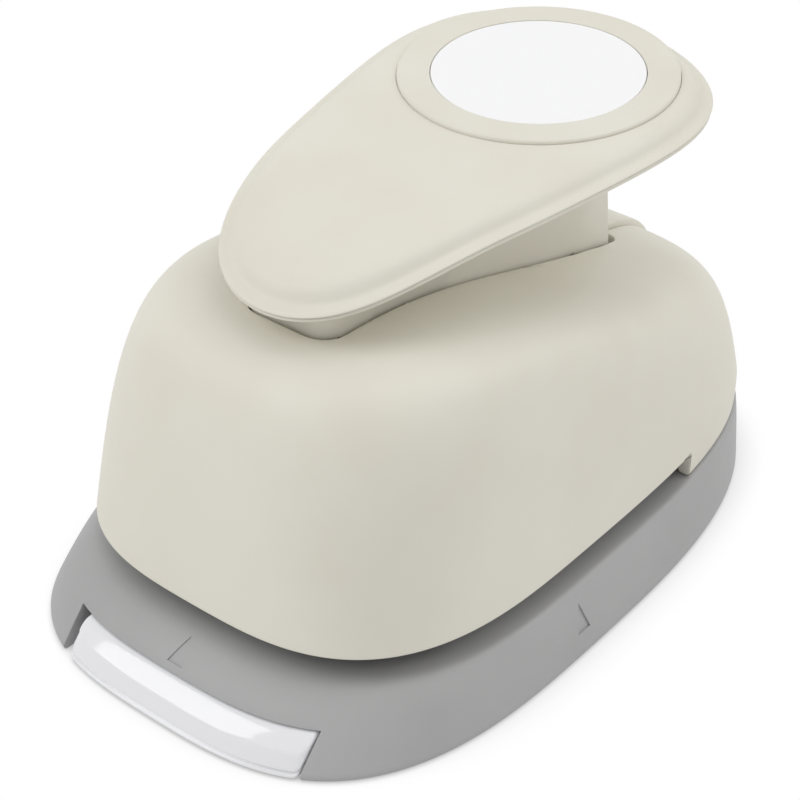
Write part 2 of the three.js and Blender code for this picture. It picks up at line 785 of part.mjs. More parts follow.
function tiltedDisc(radius, low, high) {
  const geometry = new THREE.CylinderGeometry(radius, radius, high - low, circleSteps);
  geometry.rotateX(Math.PI / 2);
  geometry.translate(0, 0, (low + high) / 2);
  geometry.rotateX(leverTilt);
  geometry.translate(0, discY, discHeight);
  return toSolid(geometry);
}

function makeLeverTop() {
  const outer = leverFillShares.map((share) => leverRing(capRound, 0, share)).reverse();
  const edge = Array.from({ length: capRoundSteps + 1 }, (_, i) => {
    const turn = (i / capRoundSteps) * (Math.PI / 2);
    return leverRing(capRound * (1 - Math.sin(turn)), capRound * (1 - Math.cos(turn)));
  });
  const inner = leverFillShares.map((share) => leverRing(capWall, capSkin, share));
  const wall = [leverRing(0, capDepth), leverRing(capWall, capDepth), leverRing(capWall, capSkin)];
  let cap = toSolid(loft([...outer, ...edge, ...wall, ...inner]));
  cap = cap.subtract(tiltedDisc(ringRadius + slideGap / 2, ringProud - ringThickness - seatGap, overrun));
  return toGeometry(cap);
}

function makeSampleRing() {
  let ring = tiltedDisc(ringRadius, ringProud - ringThickness, ringProud);
  ring = ring.subtract(tiltedDisc(
    sampleRadius + slideGap / 2, ringProud - sampleSunk - sampleThickness - seatGap, overrun,
  ));
  return toGeometry(ring);
}

function makeSampleDisc() {
  const top = ringProud - sampleSunk;
  return toGeometry(tiltedDisc(sampleRadius, top - sampleThickness, top));
}

function stemSide(inward) {
  const top = discHeight + leverLength;
  return [
    [stemFrontY + inward, stemBottomFront],
    [stemMiddleFrontY, stemBottomFront],
    [stemMiddleFrontY + (stemBottomMiddle - stemBottomFront), stemBottomMiddle],
    [stemMiddleRearY, stemBottomMiddle],
    [stemRearFootY, stemBottomRear],
    [stemRearY - inward, stemBottomRear],
    [stemRearY - stemRearLean - inward, discHeight],
    [stemRearY - stemRearLean - inward, top],
    [stemFrontY + inward, top],
  ];
}

function makeLeverBody() {
  const lipTop = capDepth + plateGap;
  const lipBottom = lipTop + lipThickness;
  const plateRings = [...leverFillShares].reverse().map((share) => leverRing(lipInset, lipTop, share));
  const underRings = leverFillShares.map((share) => leverRing(lipInset, lipBottom, share));
  const lip = toSolid(loft([
    ...plateRings, leverRing(lipInset, lipTop), leverRing(lipInset, lipBottom), ...underRings,
  ]));
  const below = toSolid(loft([
    leverRing(lipInset, lipTop + lipThickness / 2).map((p) => new THREE.Vector3(p.x, p.y, 0)),
    leverRing(lipInset, lipTop + lipThickness / 2), ...leverFillShares.map((share) => leverRing(
      lipInset, lipTop + lipThickness / 2, share,
    )),
  ]));
  const stemPlan = planSolid(
    roundedPlan(stemHalfWidth, stemFrontY, stemRearY, stemCorner, plateGap), 0, discHeight * 2,
  );
  let stem = sideProfile(stemSide(0), -stemHalfWidth, stemHalfWidth).intersect(stemPlan).intersect(below);
  const hollowHalf = stemHalfWidth - stemWall;
  const hollowTop = toSolid(loft([
    leverRing(lipInset, lipBottom).map((p) => new THREE.Vector3(p.x, p.y, 0)),
    leverRing(lipInset, lipBottom), ...underRings,
  ]));
  const hollowSide = stemSide(stemWall).map(([y, z]) => [y, z < discHeight / 2 ? z - overrun : z]);
  const hollow = sideProfile(hollowSide, -hollowHalf, hollowHalf).intersect(hollowTop);
  stem = stem.subtract(hollow);
  let body = lip.add(stem);
  const across = stemHalfWidth + overrun;
  body = body.subtract(crossCylinder(pinRadius + bushWall + plateGap, -across, across, pivotY, pivotHeight));
  body = body.subtract(crossCylinder(rollerPinRadius + plateGap, -across, across, rollerY, rollerHeight));
  return toGeometry(body);
}

// Pivot pin, its bushes and clips, and the frame that stands on the guide plate
function makePivotPin() {
  const half = cheekOuter + clipStandOff + clipThickness * 2;
  return toGeometry(crossCylinder(pinRadius, -half, half, pivotY, pivotHeight));
}

function makePivotBush(side) {
  const inner = side * (stemHalfWidth - stemWall + plateGap);
  const face = side * (stemHalfWidth + plateGap);
  const outer = face + side * bushFlange;
  const span = (a, b) => [Math.min(a, b), Math.max(a, b)];
  const [s0, s1] = span(inner, outer);
  const [f0, f1] = span(face, outer);
  let bush = crossCylinder(pinRadius + bushWall, s0, s1, pivotY, pivotHeight);
  bush = bush.add(crossCylinder(pinRadius + bushWall + bushFlangeRim, f0, f1, pivotY, pivotHeight));
  return toGeometry(bush.subtract(crossCylinder(
    pinRadius + plateGap / 2, s0 - overrun, s1 + overrun, pivotY, pivotHeight,
  )));
}

function makePinClip(side) {
  const near = side * (cheekOuter + clipStandOff);
  const far = near + side * clipThickness;
  const x0 = Math.min(near, far);
  const x1 = Math.max(near, far);
  let clip = crossCylinder(pinRadius + clipRim, x0, x1, pivotY, pivotHeight);
  clip = clip.subtract(crossCylinder(pinRadius + plateGap, x0 - overrun, x1 + overrun, pivotY, pivotHeight));
  return toGeometry(clip.subtract(boxSolid(
    x0 - overrun, x1 + overrun, pivotY - clipSlit / 2, pivotY + clipSlit / 2, pivotHeight - cheekRadius * 2,
    pivotHeight,
  )));
}

function makePivotFrame() {
  const foot = guidePlateTop + plateGap;
  const shin = frameFootRearY;
  const cheekSide = [
    [frameFootFrontY, foot],
    [shin, foot],
    [shin, frameKneeHeight],
    [pivotY + cheekRadius * 0.6, pivotHeight - cheekRadius * 0.8],
    [pivotY, pivotHeight],
    [pivotY - cheekRadius * 0.3, pivotHeight + cheekRadius * 0.95],
    [(frameFootFrontY + pivotY) / 2 - cheekRadius, pivotHeight - cheekRadius / 2],
    [frameFootFrontY + frameWebThickness, frameKneeHeight],
  ];
  let frame = boxSolid(
    -cheekOuter, cheekOuter, frameFootFrontY, frameFootFrontY + frameWebThickness, foot, frameKneeHeight,
  );
  for (const side of [-1, 1]) {
    const x0 = side > 0 ? cheekInner : -cheekOuter;
    const x1 = side > 0 ? cheekOuter : -cheekInner;
    frame = frame.add(sideProfile(cheekSide, x0, x1));
    frame = frame.add(crossCylinder(cheekRadius, x0, x1, pivotY, pivotHeight));
  }
  const footPlan = roundedPlan(
    frameFootHalfWidth, frameFootFrontY, frameFootRearY, bossRadius, bossRadius,
  );
  frame = frame.add(planSolid(footPlan, foot, foot + frameFootThickness));
  for (const side of [-1, 1]) {
    frame = frame.add(uprightCylinder(
      bossRadius, side * frameScrewX, frameScrewY, foot, foot + screwGrip + seatGap,
    ));
  }
  for (const side of [-1, 1]) {
    frame = frame.subtract(uprightCylinder(
      screwRadius + plateGap, side * frameScrewX, frameScrewY, 0, guidePlateTop + screwGrip + plateGap * 2,
    ));
  }
  const across = cheekOuter + overrun;
  frame = frame.subtract(crossCylinder(pinRadius + plateGap, -across, across, pivotY, pivotHeight));
  frame = frame.intersect(domeInside(seatGap));
  return toGeometry(frame);
}

// Roller and its pin
function makeRoller() {
  const roller = crossCylinder(rollerRadius, -rollerHalfWidth, rollerHalfWidth, rollerY, rollerHeight);
  const across = rollerHalfWidth + overrun;
  return toGeometry(roller.subtract(crossCylinder(
    rollerPinRadius + plateGap, -across, across, rollerY, rollerHeight,
  )));
}

function makeRollerPin() {
  return toGeometry(crossCylinder(rollerPinRadius, -stemHalfWidth, stemHalfWidth, rollerY, rollerHeight));
}

// Round blade, open below, and the carrier that pushes it
function bladeScrewPlaces() {
  return Array.from({ length: bladeScrewCount }, (_, i) => {
    const turn = Math.PI / 2 + (i / bladeScrewCount) * Math.PI * 2;
    return [bladeScrewCircle * Math.cos(turn), punchY + bladeScrewCircle * Math.sin(turn)];
  });
}

function makePunchBlade() {
  let blade = uprightCylinder(punchRadius, 0, punchY, bladeBottom, bladeTopZ, circleSteps);
  blade = blade.subtract(uprightCylinder(
    punchRadius - bladeWall, 0, punchY, bladeBottom - overrun, bladeTopZ - bladeTop, circleSteps,
  ));
  for (const [x, y] of bladeScrewPlaces()) {
    blade = blade.subtract(uprightCylinder(screwRadius + plateGap, x, y, bladeBottom, bladeTopZ + overrun));
  }
  return toGeometry(blade);
}

function makePunchCarrier() {
  const rear = punchY + postSpread + earRadius;
  const plan = roundedPlan(postX + earRadius, carrierFrontY, rear, earRadius, earRadius);
  let carrier = planSolid(plan, carrierBottom, carrierTop);
  carrier = carrier.add(boxSolid(
    -columnHalfWidth, columnHalfWidth, punchY - columnHalfDepth, punchY + columnHalfDepth,
    carrierBottom, columnTop,
  ));
  for (const [x, y] of postPlaces) {
    carrier = carrier.subtract(uprightCylinder(postRadius + slideGap, x, y, 0, carrierTop + overrun));
  }
  for (const [x, y] of bladeScrewPlaces()) {
    carrier = carrier.subtract(uprightCylinder(
      screwRadius + plateGap, x, y, 0, carrierTop + overrun,
    ));
  }
  return toGeometry(carrier);
}

function makeWearPlate() {
  return toGeometry(boxSolid(
    -columnHalfWidth, columnHalfWidth, punchY - columnHalfDepth, punchY + columnHalfDepth,
    wearTop - wearThickness, wearTop,
  ));
}

function makeGuidePost([x, y]) {
  const top = carrierTop + slideGap;
  let post = uprightCylinder(postRadius, x, y, guidePlateBottom, top + postHeadThickness / 2);
  post = post.add(uprightCylinder(postHeadRadius, x, y, top, top + postHeadThickness));
  return toGeometry(post);
}

// A compression spring as one unbroken wire
function makeSpring([x, y]) {
  const low = guidePlateTop + seatGap + wireRadius;
  const high = carrierBottom - seatGap - wireRadius;
  const steps = springCurls * springStepsPerCurl;
  const rings = Array.from({ length: steps + 1 }, (_, i) => {
    const turn = (i / springStepsPerCurl) * Math.PI * 2;
    const middle = new THREE.Vector3(
      x + springRadius * Math.cos(turn), y + springRadius * Math.sin(turn), low + (high - low) * (i / steps),
    );
    const outward = new THREE.Vector3(Math.cos(turn), Math.sin(turn), 0);
    return Array.from({ length: springSides }, (_s, k) => {
      const around = (k / springSides) * Math.PI * 2;
      const point = middle.clone().addScaledVector(outward, wireRadius * Math.cos(around));
      point.z += wireRadius * Math.sin(around);
      return point;
    });
  });
  return loft(rings);
}

function springLeastGap() {
  const low = guidePlateTop + seatGap + wireRadius;
  const high = carrierBottom - seatGap - wireRadius;
  return (high - low) / springCurls - wireRadius * 2;
}

// The bar's front has a ridge, with a steeper face below it
function trayBarShape(inward) {
  const barTop = notchTop - slideGap;
  return toSolid(loft([
    baseRing(inward + rimEdge, 0, 0),
    baseRing(inward, 0, rimEdgeRise),
    baseRing(inward, trayRidgeShare, trayRidgeHeight),
    baseRing(inward, slopeInset(barTop), barTop),
  ]));
}

// Clear tray: a shallow cup with a bar in the base's front notch, with a finger gap at its left end
function makeChipTray() {
  const top = trayLift + trayFloor;
  const rearReach = hingeY - widestY - stubRadius * 2;
  const trayRing = (inset, height) => cavityRing(visibleGap + inset, height, rearReach);
  let tray = toSolid(loft([
    trayRing(0, trayLift), trayRing(0, rimEdgeRise), trayRing(0, trayRimTop),
    trayRing(trayRimWall, trayRimTop), trayRing(trayRimWall, top),
  ]));
  const barBack = widestY - deckFrontReach + rimWidth;
  const barFront = widestY - baseFrontReach - overrun;
  const barLeft = fingerGap - notchLeftReach;
  const barRight = notchRightReach - slideGap;
  const outerShape = trayBarShape(0);
  const wall = boxSolid(barLeft, barRight, barFront, barBack, trayBarFoot, notchTop)
    .intersect(outerShape).subtract(trayBarShape(trayBarWall));
  const floorStrip = boxSolid(barLeft, barRight, barFront, barBack, trayLift, top).intersect(outerShape);
  tray = tray.add(wall).add(floorStrip);
  for (const side of [-1, 1]) {
    const x0 = side * hingeEarX - earThickness / 2;
    const x1 = side * hingeEarX + earThickness / 2;
    const earRear = hingeY + stubRadius * 1.4;
    const earFront = hingeY - stubRadius * 6;
    tray = tray.add(boxSolid(x0, x1, earFront, hingeY, trayLift, hingeHeight));
    tray = tray.add(crossCylinder(earRear - hingeY, x0, x1, hingeY, hingeHeight));
    const tip = side * (hingeEarX + earThickness / 2 + slideGap + stubLength);
    const root = side * hingeEarX;
    tray = tray.add(crossCylinder(stubRadius, Math.min(tip, root), Math.max(tip, root), hingeY, hingeHeight));
  }
  return toGeometry(tray);
}

// Materials
const finish = {
  cream: { color: 0xded9cb, roughness: 0.5, metalness: 0 },
  grey: { color: 0xa9a9a9, roughness: 0.55, metalness: 0 },
  clear: { color: 0xe6e6ec, roughness: 0.15, metalness: 0, transparent: true, opacity: 0.45 },
  white: { color: 0xf3f3f3, roughness: 0.6, metalness: 0 },
  steel: { color: 0xb4b7ba, roughness: 0.35, metalness: 0.9 },
  nylon: { color: 0xe4e1d6, roughness: 0.6, metalness: 0 },
  black: { color: 0x2f3033, roughness: 0.6, metalness: 0 },
};

const punch = new THREE.Group();
punch.name = 'circle_craft_punch';

function put(group, name, look, geometry) {
  const mesh = new THREE.Mesh(geometry, new THREE.MeshStandardMaterial(finish[look]));
  mesh.name = name;
  group.add(mesh);
}

// Base and everything fixed to it
const fixed = new THREE.Group();
punch.add(fixed);
put(fixed, 'base_shell', 'grey', makeBaseShell());
put(fixed, 'rear_spine', 'grey', makeRearSpine());
put(fixed, 'cover_shell', 'cream', makeCoverShell());
put(fixed, 'die_plate', 'steel', makeDiePlate());
put(fixed, 'paper_stop', 'steel', makePaperStop());
put(fixed, 'guide_plate', 'steel', makeGuidePlate());
put(fixed, 'pivot_frame', 'black', makePivotFrame());
put(fixed, 'pivot_pin', 'steel', makePivotPin());
const sideNames = [[-1, 'left'], [1, 'right']];
for (const [side, word] of sideNames) {
  put(fixed, `plate_rivet_${word}`, 'steel', makePlateRivet(side));
  put(fixed, `pin_clip_${word}`, 'steel', makePinClip(side));
  put(fixed, `frame_screw_${word}`, 'steel', makeCountersunkScrew(
    side * frameScrewX, frameScrewY, screwGrip,
  ));
  put(fixed, `front_cover_screw_${word}`, 'steel', makeCountersunkScrew(
    side * frontCoverScrewX, frontCoverScrewY, screwGrip,
  ));
  put(fixed, `rear_cover_screw_${word}`, 'steel', makeUpScrew(
    side * rearCoverScrewX, rearCoverScrewY, deckHeight - deckThickness - seatGap, deckThickness + screwGrip,
  ));
}
put(fixed, 'spine_screw', 'steel', makeUpScrew(
  0, spineScrewY, deckHeight - deckThickness - seatGap, deckThickness + screwGrip,
));
const cornerNames = ['left_front', 'left_rear', 'right_front', 'right_rear'];
cornerNames.forEach((word, i) => {
  const [x, y] = dieScrewPlaces[i];
  put(fixed, `die_screw_${word}`, 'steel', makeUpScrew(
    x, y, ledgeBottom - seatGap, diePlateTop - ledgeBottom,
  ));
  put(fixed, `guide_post_${word}`, 'steel', makeGuidePost(postPlaces[i]));
  put(fixed, `return_spring_${word}`, 'steel', makeSpring(postPlaces[i]));
});
console.log('return spring least gap to itself, mm:', springLeastGap().toFixed(2));

// Punch: blade, carrier and what is fixed to them
const ram = new THREE.Group();
punch.add(ram);
put(ram, 'punch_blade', 'steel', makePunchBlade());
put(ram, 'punch_carrier', 'black', makePunchCarrier());
put(ram, 'wear_plate', 'steel', makeWearPlate());
bladeScrewPlaces().forEach(([x, y], i) => {
  put(ram, `blade_screw_${i + 1}`, 'steel', makeUpScrew(
    x, y, bladeTopZ - bladeTop - seatGap, bladeTop + carrierThickness,
  ));
});

// Lever
const lever = new THREE.Group();
punch.add(lever);
put(lever, 'lever_top', 'cream', makeLeverTop());
put(lever, 'lever_body', 'cream', makeLeverBody());
put(lever, 'sample_ring', 'cream', makeSampleRing());
put(lever, 'sample_disc', 'white', makeSampleDisc());
put(lever, 'roller_pin', 'steel', makeRollerPin());
for (const [side, word] of sideNames) {
  put(lever, `pivot_bush_${word}`, 'nylon', makePivotBush(side));
}
const rollerGroup = new THREE.Group();
lever.add(rollerGroup);
put(rollerGroup, 'press_roller', 'steel', makeRoller());

// Tray
const tray = new THREE.Group();
punch.add(tray);
put(tray, 'chip_tray', 'clear', makeChipTray());

export default punch;
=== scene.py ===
# Circle craft punch, dressed piece by piece in the order in which it is put together.
import math

import bmesh
import bpy
from mathutils import Matrix, Vector


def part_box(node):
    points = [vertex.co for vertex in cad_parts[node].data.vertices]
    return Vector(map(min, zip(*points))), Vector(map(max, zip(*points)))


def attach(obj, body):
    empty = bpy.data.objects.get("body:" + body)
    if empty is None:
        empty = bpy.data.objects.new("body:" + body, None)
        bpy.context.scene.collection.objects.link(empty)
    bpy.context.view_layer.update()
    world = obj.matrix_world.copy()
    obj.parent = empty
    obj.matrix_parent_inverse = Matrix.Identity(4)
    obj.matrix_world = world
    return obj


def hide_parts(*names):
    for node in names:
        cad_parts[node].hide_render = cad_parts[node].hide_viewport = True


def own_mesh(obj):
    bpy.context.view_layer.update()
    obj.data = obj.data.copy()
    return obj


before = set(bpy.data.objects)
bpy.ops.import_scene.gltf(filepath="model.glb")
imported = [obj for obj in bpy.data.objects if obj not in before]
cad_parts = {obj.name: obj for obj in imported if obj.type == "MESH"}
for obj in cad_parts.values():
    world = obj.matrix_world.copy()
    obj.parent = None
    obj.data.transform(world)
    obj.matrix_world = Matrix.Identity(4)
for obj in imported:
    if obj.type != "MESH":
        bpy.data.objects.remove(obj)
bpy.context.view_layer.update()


# Base shell. The grey foot of the punch is one thin-walled ABS moulding with sloping sides and a flat deck.
# The deck has a pocket for the steel plates and a round hole for the chips, and its front has a notch
# for the clear tray. Shallow arrow marks in front and on each side show the middle of the cut.
base_half_width = 0.040
base_front_reach = 0.055
base_rear_reach = 0.069
widest_y = -0.007
front_squareness = 3.05
rear_squareness = 2.85
deck_half_width = 0.036
deck_front_reach = 0.043
deck_rear_reach = 0.0682
deck_rear_squareness = 3.3
outline_steps = 88
deck_height = 0.0107
deck_thickness = 0.0024
rim_width = 0.0026
rim_edge = 0.0006
rim_edge_rise = 0.0008
slope_height_shares = [0, 0.04, 0.24, 0.45, 0.64, 0.8, 0.93, 0.985, 1]
slope_inset_shares = [0, 0.012, 0.15, 0.3, 0.45, 0.6, 0.76, 0.88, 1]
cap_shares = [0.8, 0.5, 0.2]
cavity_top = deck_height - deck_thickness
die_plate_low, die_plate_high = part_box("die_plate")
plate_half_width = die_plate_high.x
plate_front_y = die_plate_low.y
plate_rear_y = die_plate_high.y
plate_front_corner = 0.016
plate_rear_corner = 0.005
pocket_gap = 0.0003
pocket_floor = die_plate_low.z - 0.0002
ledge_margin = 0.003
ledge_thickness = 0.0019
punch_radius = 0.0254
punch_y = -0.010
chip_hole_margin = 0.0016
notch_left_reach = 0.0204
notch_right_reach = 0.0243
notch_top = 0.0062
seat_gap = 0.0002
overrun = 0.003
hinge_y = 0.052
hinge_height = 0.0039
lug_radius = 0.0032
lug_inner_x = 0.0165
lug_outer_x = 0.0197
stub_hole_radius = 0.00165
mark_length = 0.0046
mark_half_width = 0.0015
mark_depth = 0.0003
side_mark_low = 0.0042
side_mark_high = 0.0084
front_mark_gap = 0.0005
base_edge_ease = 0.00015
screw_hole_radius = 0.0017
rivet_well_radius = 0.0035
hole_steps = 24
lug_steps = 32
wide_hole_steps = 128
corner_steps = 8
smooth_below = math.radians(32)
weld_distance = 0.00002
near_enough = 0.000001
sides = ("left", "right")
corners = ("left_front", "left_rear", "right_front", "right_rear")


def select_only(piece):
    """Leaves one piece selected and active, because an operator acts on all that is selected."""
    bpy.ops.object.select_all(action="DESELECT")
    piece.select_set(True)
    bpy.context.view_layer.objects.active = piece


def plan_point(turn, half, front, rear, rear_power):
    """A point of a rounded outline: one curve in front of the widest place, and another behind it."""
    c = math.cos(turn)
    s = math.sin(turn)
    power = 2 / (front_squareness if s < 0 else rear_power)
    reach = front if s < 0 else rear
    x = half * math.copysign(abs(c) ** power, c)
    return Vector((x, widest_y + reach * math.copysign(abs(s) ** power, s), 0))


def base_ring(inward, slope_share, height):
    """A ring of the base, between its outline on the table and the outline of its deck."""
    ring = []
    for i in range(outline_steps):
        turn = 2 * math.pi * i / outline_steps
        foot = plan_point(
            turn, base_half_width - inward, base_front_reach - inward, base_rear_reach - inward,
            rear_squareness,
        )
        deck = plan_point(
            turn, deck_half_width - inward, deck_front_reach - inward, deck_rear_reach - inward,
            deck_rear_squareness,
        )
        point = foot.lerp(deck, slope_share)
        point.z = height
        ring.append(point)
    return ring


def slope_inset(height):
    """How far the outer slope has come in at a height, as a share of the way to the deck's outline."""
    share = (height - rim_edge_rise) / (deck_height - rim_edge_rise)
    k = next(i for i, rise in enumerate(slope_height_shares) if rise >= share)
    before = slope_height_shares[k - 1]
    part = (share - before) / (slope_height_shares[k] - before)
    return slope_inset_shares[k - 1] + (slope_inset_shares[k] - slope_inset_shares[k - 1]) * part


def slope_rings(inward):
    rings = [base_ring(inward + rim_edge, 0, 0), base_ring(inward + rim_edge / 2, 0, rim_edge_rise / 6)]
    for rise, inset in zip(slope_height_shares, slope_inset_shares):
        height = rim_edge_rise + (deck_height - rim_edge_rise) * rise
        rings.append(base_ring(inward, inset, height))
    return rings


def cavity_ring(inward, height, rear_reach=0):
    rise = max(0, height - rim_edge_rise) / (cavity_top - rim_edge_rise)
    ring = base_ring(rim_width + rim_edge + inward, rise * slope_inset(cavity_top), height)
    if rear_reach:
        rim = rim_width + rim_edge + inward
        share = (rear_reach - rim) / (base_rear_reach - rim)
        for point in ring:
            if point.y > widest_y:
                point.y = widest_y + (point.y - widest_y) * share
    return ring


def toward_middle(ring, share):
    return [Vector((p.x * share, widest_y + (p.y - widest_y) * share, p.z)) for p in ring]


def grow(name, rings, levels=1):
    """A circle laid on the first ring is extruded ring by ring, closed at both ends, and smoothed."""
    bpy.ops.object.select_all(action="DESELECT")
    bpy.ops.mesh.primitive_circle_add(vertices=len(rings[0]), radius=base_half_width)
    piece = bpy.context.object
    piece.name = name
    bpy.ops.object.mode_set(mode="EDIT")
    bpy.ops.mesh.select_mode(type="EDGE")
    work = bmesh.from_edit_mesh(piece.data)
    place = work.verts.layers.int.new("place")
    for vertex in work.verts:
        vertex[place] = vertex.index
    bmesh.update_edit_mesh(piece.data)
    for step, ring in enumerate(rings):
        if step:
            bpy.ops.mesh.extrude_edges_move()
        work = bmesh.from_edit_mesh(piece.data)
        place = work.verts.layers.int["place"]
        for vertex in work.verts:
            if vertex.select:
                vertex.co = ring[vertex[place]]
        bmesh.update_edit_mesh(piece.data)
    bpy.ops.mesh.edge_face_add()
    bpy.ops.mesh.select_all(action="DESELECT")
    bpy.ops.mesh.select_non_manifold(extend=False)
    bpy.ops.mesh.edge_face_add()
    bpy.ops.mesh.select_all(action="SELECT")
    bpy.ops.mesh.normals_make_consistent(inside=False)
    bpy.ops.object.mode_set(mode="OBJECT")
    piece.data.attributes.remove(piece.data.attributes["place"])
    if levels:
        smoothing = piece.modifiers.new("smooth", "SUBSURF")
        smoothing.levels = levels
        smoothing.render_levels = levels
        bpy.ops.object.modifier_apply(modifier=smoothing.name)
    return piece


def carve(piece, tool, operation="DIFFERENCE"):
    """Cuts a piece with a tool, or joins the two, and the tool is used up."""
    select_only(piece)
    change = piece.modifiers.new("carve", "BOOLEAN")
    change.operation = operation
    change.object = tool
    change.solver = "EXACT"
    bpy.ops.object.modifier_apply(modifier=change.name)
    bpy.data.objects.remove(tool)


def copy_of(piece, name):
    """A second piece with a mesh of its own."""
    select_only(piece)
    bpy.ops.object.duplicate()
    twin = bpy.context.object
    twin.name = name
    return twin


def block(low, high):
    """A plain block between two corners, as a cutting tool or as the start of a piece."""
    low = Vector(low)
    high = Vector(high)
    bpy.ops.object.select_all(action="DESELECT")
    bpy.ops.mesh.primitive_cube_add(size=1, location=(low + high) / 2)
    piece = bpy.context.object
    piece.scale = high - low
    bpy.ops.object.transform_apply(location=True, rotation=True, scale=True)
    return piece


def round_edges(piece, chosen, radius, segments):
    """Rounds the edges that a test picks out by the places of their two ends."""
    select_only(piece)
    bpy.ops.object.mode_set(mode="EDIT")
    bpy.ops.mesh.select_mode(type="EDGE")
    bpy.ops.mesh.select_all(action="DESELECT")
    work = bmesh.from_edit_mesh(piece.data)
    for edge in work.edges:
        edge.select = chosen(edge.verts[0].co, edge.verts[1].co)
    bmesh.update_edit_mesh(piece.data)
    bpy.ops.mesh.bevel(offset=radius, segments=segments, affect="EDGES")
    bpy.ops.object.mode_set(mode="OBJECT")


def upright(a, b):
    return abs(a.x - b.x) + abs(a.y - b.y) < near_enough


def rounded_block(low, high, front_corner, rear_corner):
    """A block whose upright edges are rounded, as a plate's corners are."""
    piece = block(low, high)
    middle = (low[1] + high[1]) / 2
    round_edges(piece, lambda a, b: upright(a, b) and a.y < middle, front_corner, corner_steps)
    rear_y = high[1]
    round_edges(piece, lambda a, b: upright(a, b) and abs(a.y - rear_y) < near_enough, rear_corner, 6)
    return piece


def rod(radius, start, end, round_steps=48):
    """A round bar or a drill between two points."""
    start = Vector(start)
    end = Vector(end)
    bpy.ops.object.select_all(action="DESELECT")
    turn = (end - start).to_track_quat("Z", "Y").to_euler()
    bpy.ops.mesh.primitive_cylinder_add(
        vertices=round_steps, radius=radius, depth=(end - start).length,
        location=(start + end) / 2, rotation=turn,
    )
    bpy.ops.object.transform_apply(location=True, rotation=True, scale=True)
    return bpy.context.object


def plate_block(grow_by, low, high):
    return rounded_block(
        (-plate_half_width - grow_by, plate_front_y - grow_by, low),
        (plate_half_width + grow_by, plate_rear_y + grow_by, high),
        plate_front_corner + grow_by, plate_rear_corner + grow_by,
    )


def mark_tool(low, high, body):
    """The cutter of an arrow mark: a three-sided bar in the slope that stops just under its skin."""
    up = (high - low).normalized()
    across = up.cross(Vector((0, 0, 1))).normalized()
    out = across.cross(up)
    bpy.ops.object.select_all(action="DESELECT")
    bpy.ops.mesh.primitive_cylinder_add(vertices=3, radius=1, depth=2)
    tool = bpy.context.object
    middle = (low + high) / 2
    for vertex in tool.data.vertices:
        at_tip = abs(vertex.co.x) < 0.1
        side = 0 if at_tip else math.copysign(mark_half_width, vertex.co.x)
        along = mark_length / 2 if at_tip else -mark_length / 2
        vertex.co = middle + across * side + up * along + out * mark_half_width * vertex.co.z
    select_only(tool)
    bpy.ops.object.mode_set(mode="EDIT")
    bpy.ops.mesh.select_all(action="SELECT")
    bpy.ops.mesh.normals_make_consistent(inside=False)
    bpy.ops.object.mode_set(mode="OBJECT")
    carve(tool, copy_of(body, "under_mark"))
    return tool


def ease_edges(piece, width=0, sharpest=40):
    """Takes the sharpness off the cut edges, if a width is given, and shades the rest smooth."""
    select_only(piece)
    bpy.ops.object.mode_set(mode="EDIT")
    bpy.ops.mesh.select_all(action="SELECT")
    bpy.ops.mesh.remove_doubles(threshold=weld_distance)
    bpy.ops.object.mode_set(mode="OBJECT")
    if width:
        easing = piece.modifiers.new("edges", "BEVEL")
        easing.width = width
        easing.segments = 2
        easing.limit_method = "ANGLE"
        easing.angle_limit = math.radians(sharpest)
        easing.use_clamp_overlap = False
        bpy.ops.object.modifier_apply(modifier=easing.name)
    bpy.ops.object.shade_smooth_by_angle(angle=smooth_below)


def linear(code):
    """An sRGB hex colour, as the linear values that a shader takes."""
    parts = [int(code[i:i + 2], 16) / 255 for i in (0, 2, 4)]
    return [p / 12.92 if p <= 0.04045 else ((p + 0.055) / 1.055) ** 2.4 for p in parts] + [1.0]


def add(tree, kind, inputs=None, **settings):
    """Adds a node with its settings, and gives its inputs a value or a link."""
    made = tree.nodes.new("ShaderNode" + kind)
    for key, value in settings.items():
        setattr(made, key, value)
    for key, value in (inputs or {}).items():
        if isinstance(value, bpy.types.NodeSocket):
            tree.links.new(value, made.inputs[key])
        else:
            made.inputs[key].default_value = value
    return made


def new_material(name):
    """A material with nothing in it but the shader and the output."""
    made = bpy.data.materials.new(name)
    made.use_nodes = True
    tree = made.node_tree
    tree.nodes.clear()
    shader = add(tree, "BsdfPrincipled")
    add(tree, "OutputMaterial", {"Surface": shader.outputs["BSDF"]})
    return made, tree, shader


def noise_of(tree, size, detail=2.0):
    """Noise in the piece's own space, with spots of about the given size."""
    place = add(tree, "TexCoord")
    return add(tree, "TexNoise", {"Vector": place.outputs["Object"], "Scale": 1 / size, "Detail": detail})


def tint_by(tree, shader, pattern, low_tone, high_tone, low_share=0, high_share=1):
    """Colours a surface by a pattern, from one tone to the other."""
    tint = add(tree, "ValToRGB", {"Fac": pattern.outputs["Fac"]})
    tint.color_ramp.elements[0].position = low_share
    tint.color_ramp.elements[0].color = linear(low_tone)
    tint.color_ramp.elements[1].position = high_share
    tint.color_ramp.elements[1].color = linear(high_tone)
    tree.links.new(tint.outputs["Color"], shader.inputs["Base Color"])


def roughen_by(tree, shader, pattern, low, high):
    gloss = add(tree, "MapRange", {"Value": pattern.outputs["Fac"], "To Min": low, "To Max": high})
    tree.links.new(gloss.outputs["Result"], shader.inputs["Roughness"])


def raise_by(tree, shader, pattern, strength, depth):
    relief = add(tree, "Bump", {"Height": pattern.outputs["Fac"], "Strength": strength, "Distance": depth})
    tree.links.new(relief.outputs["Normal"], shader.inputs["Normal"])


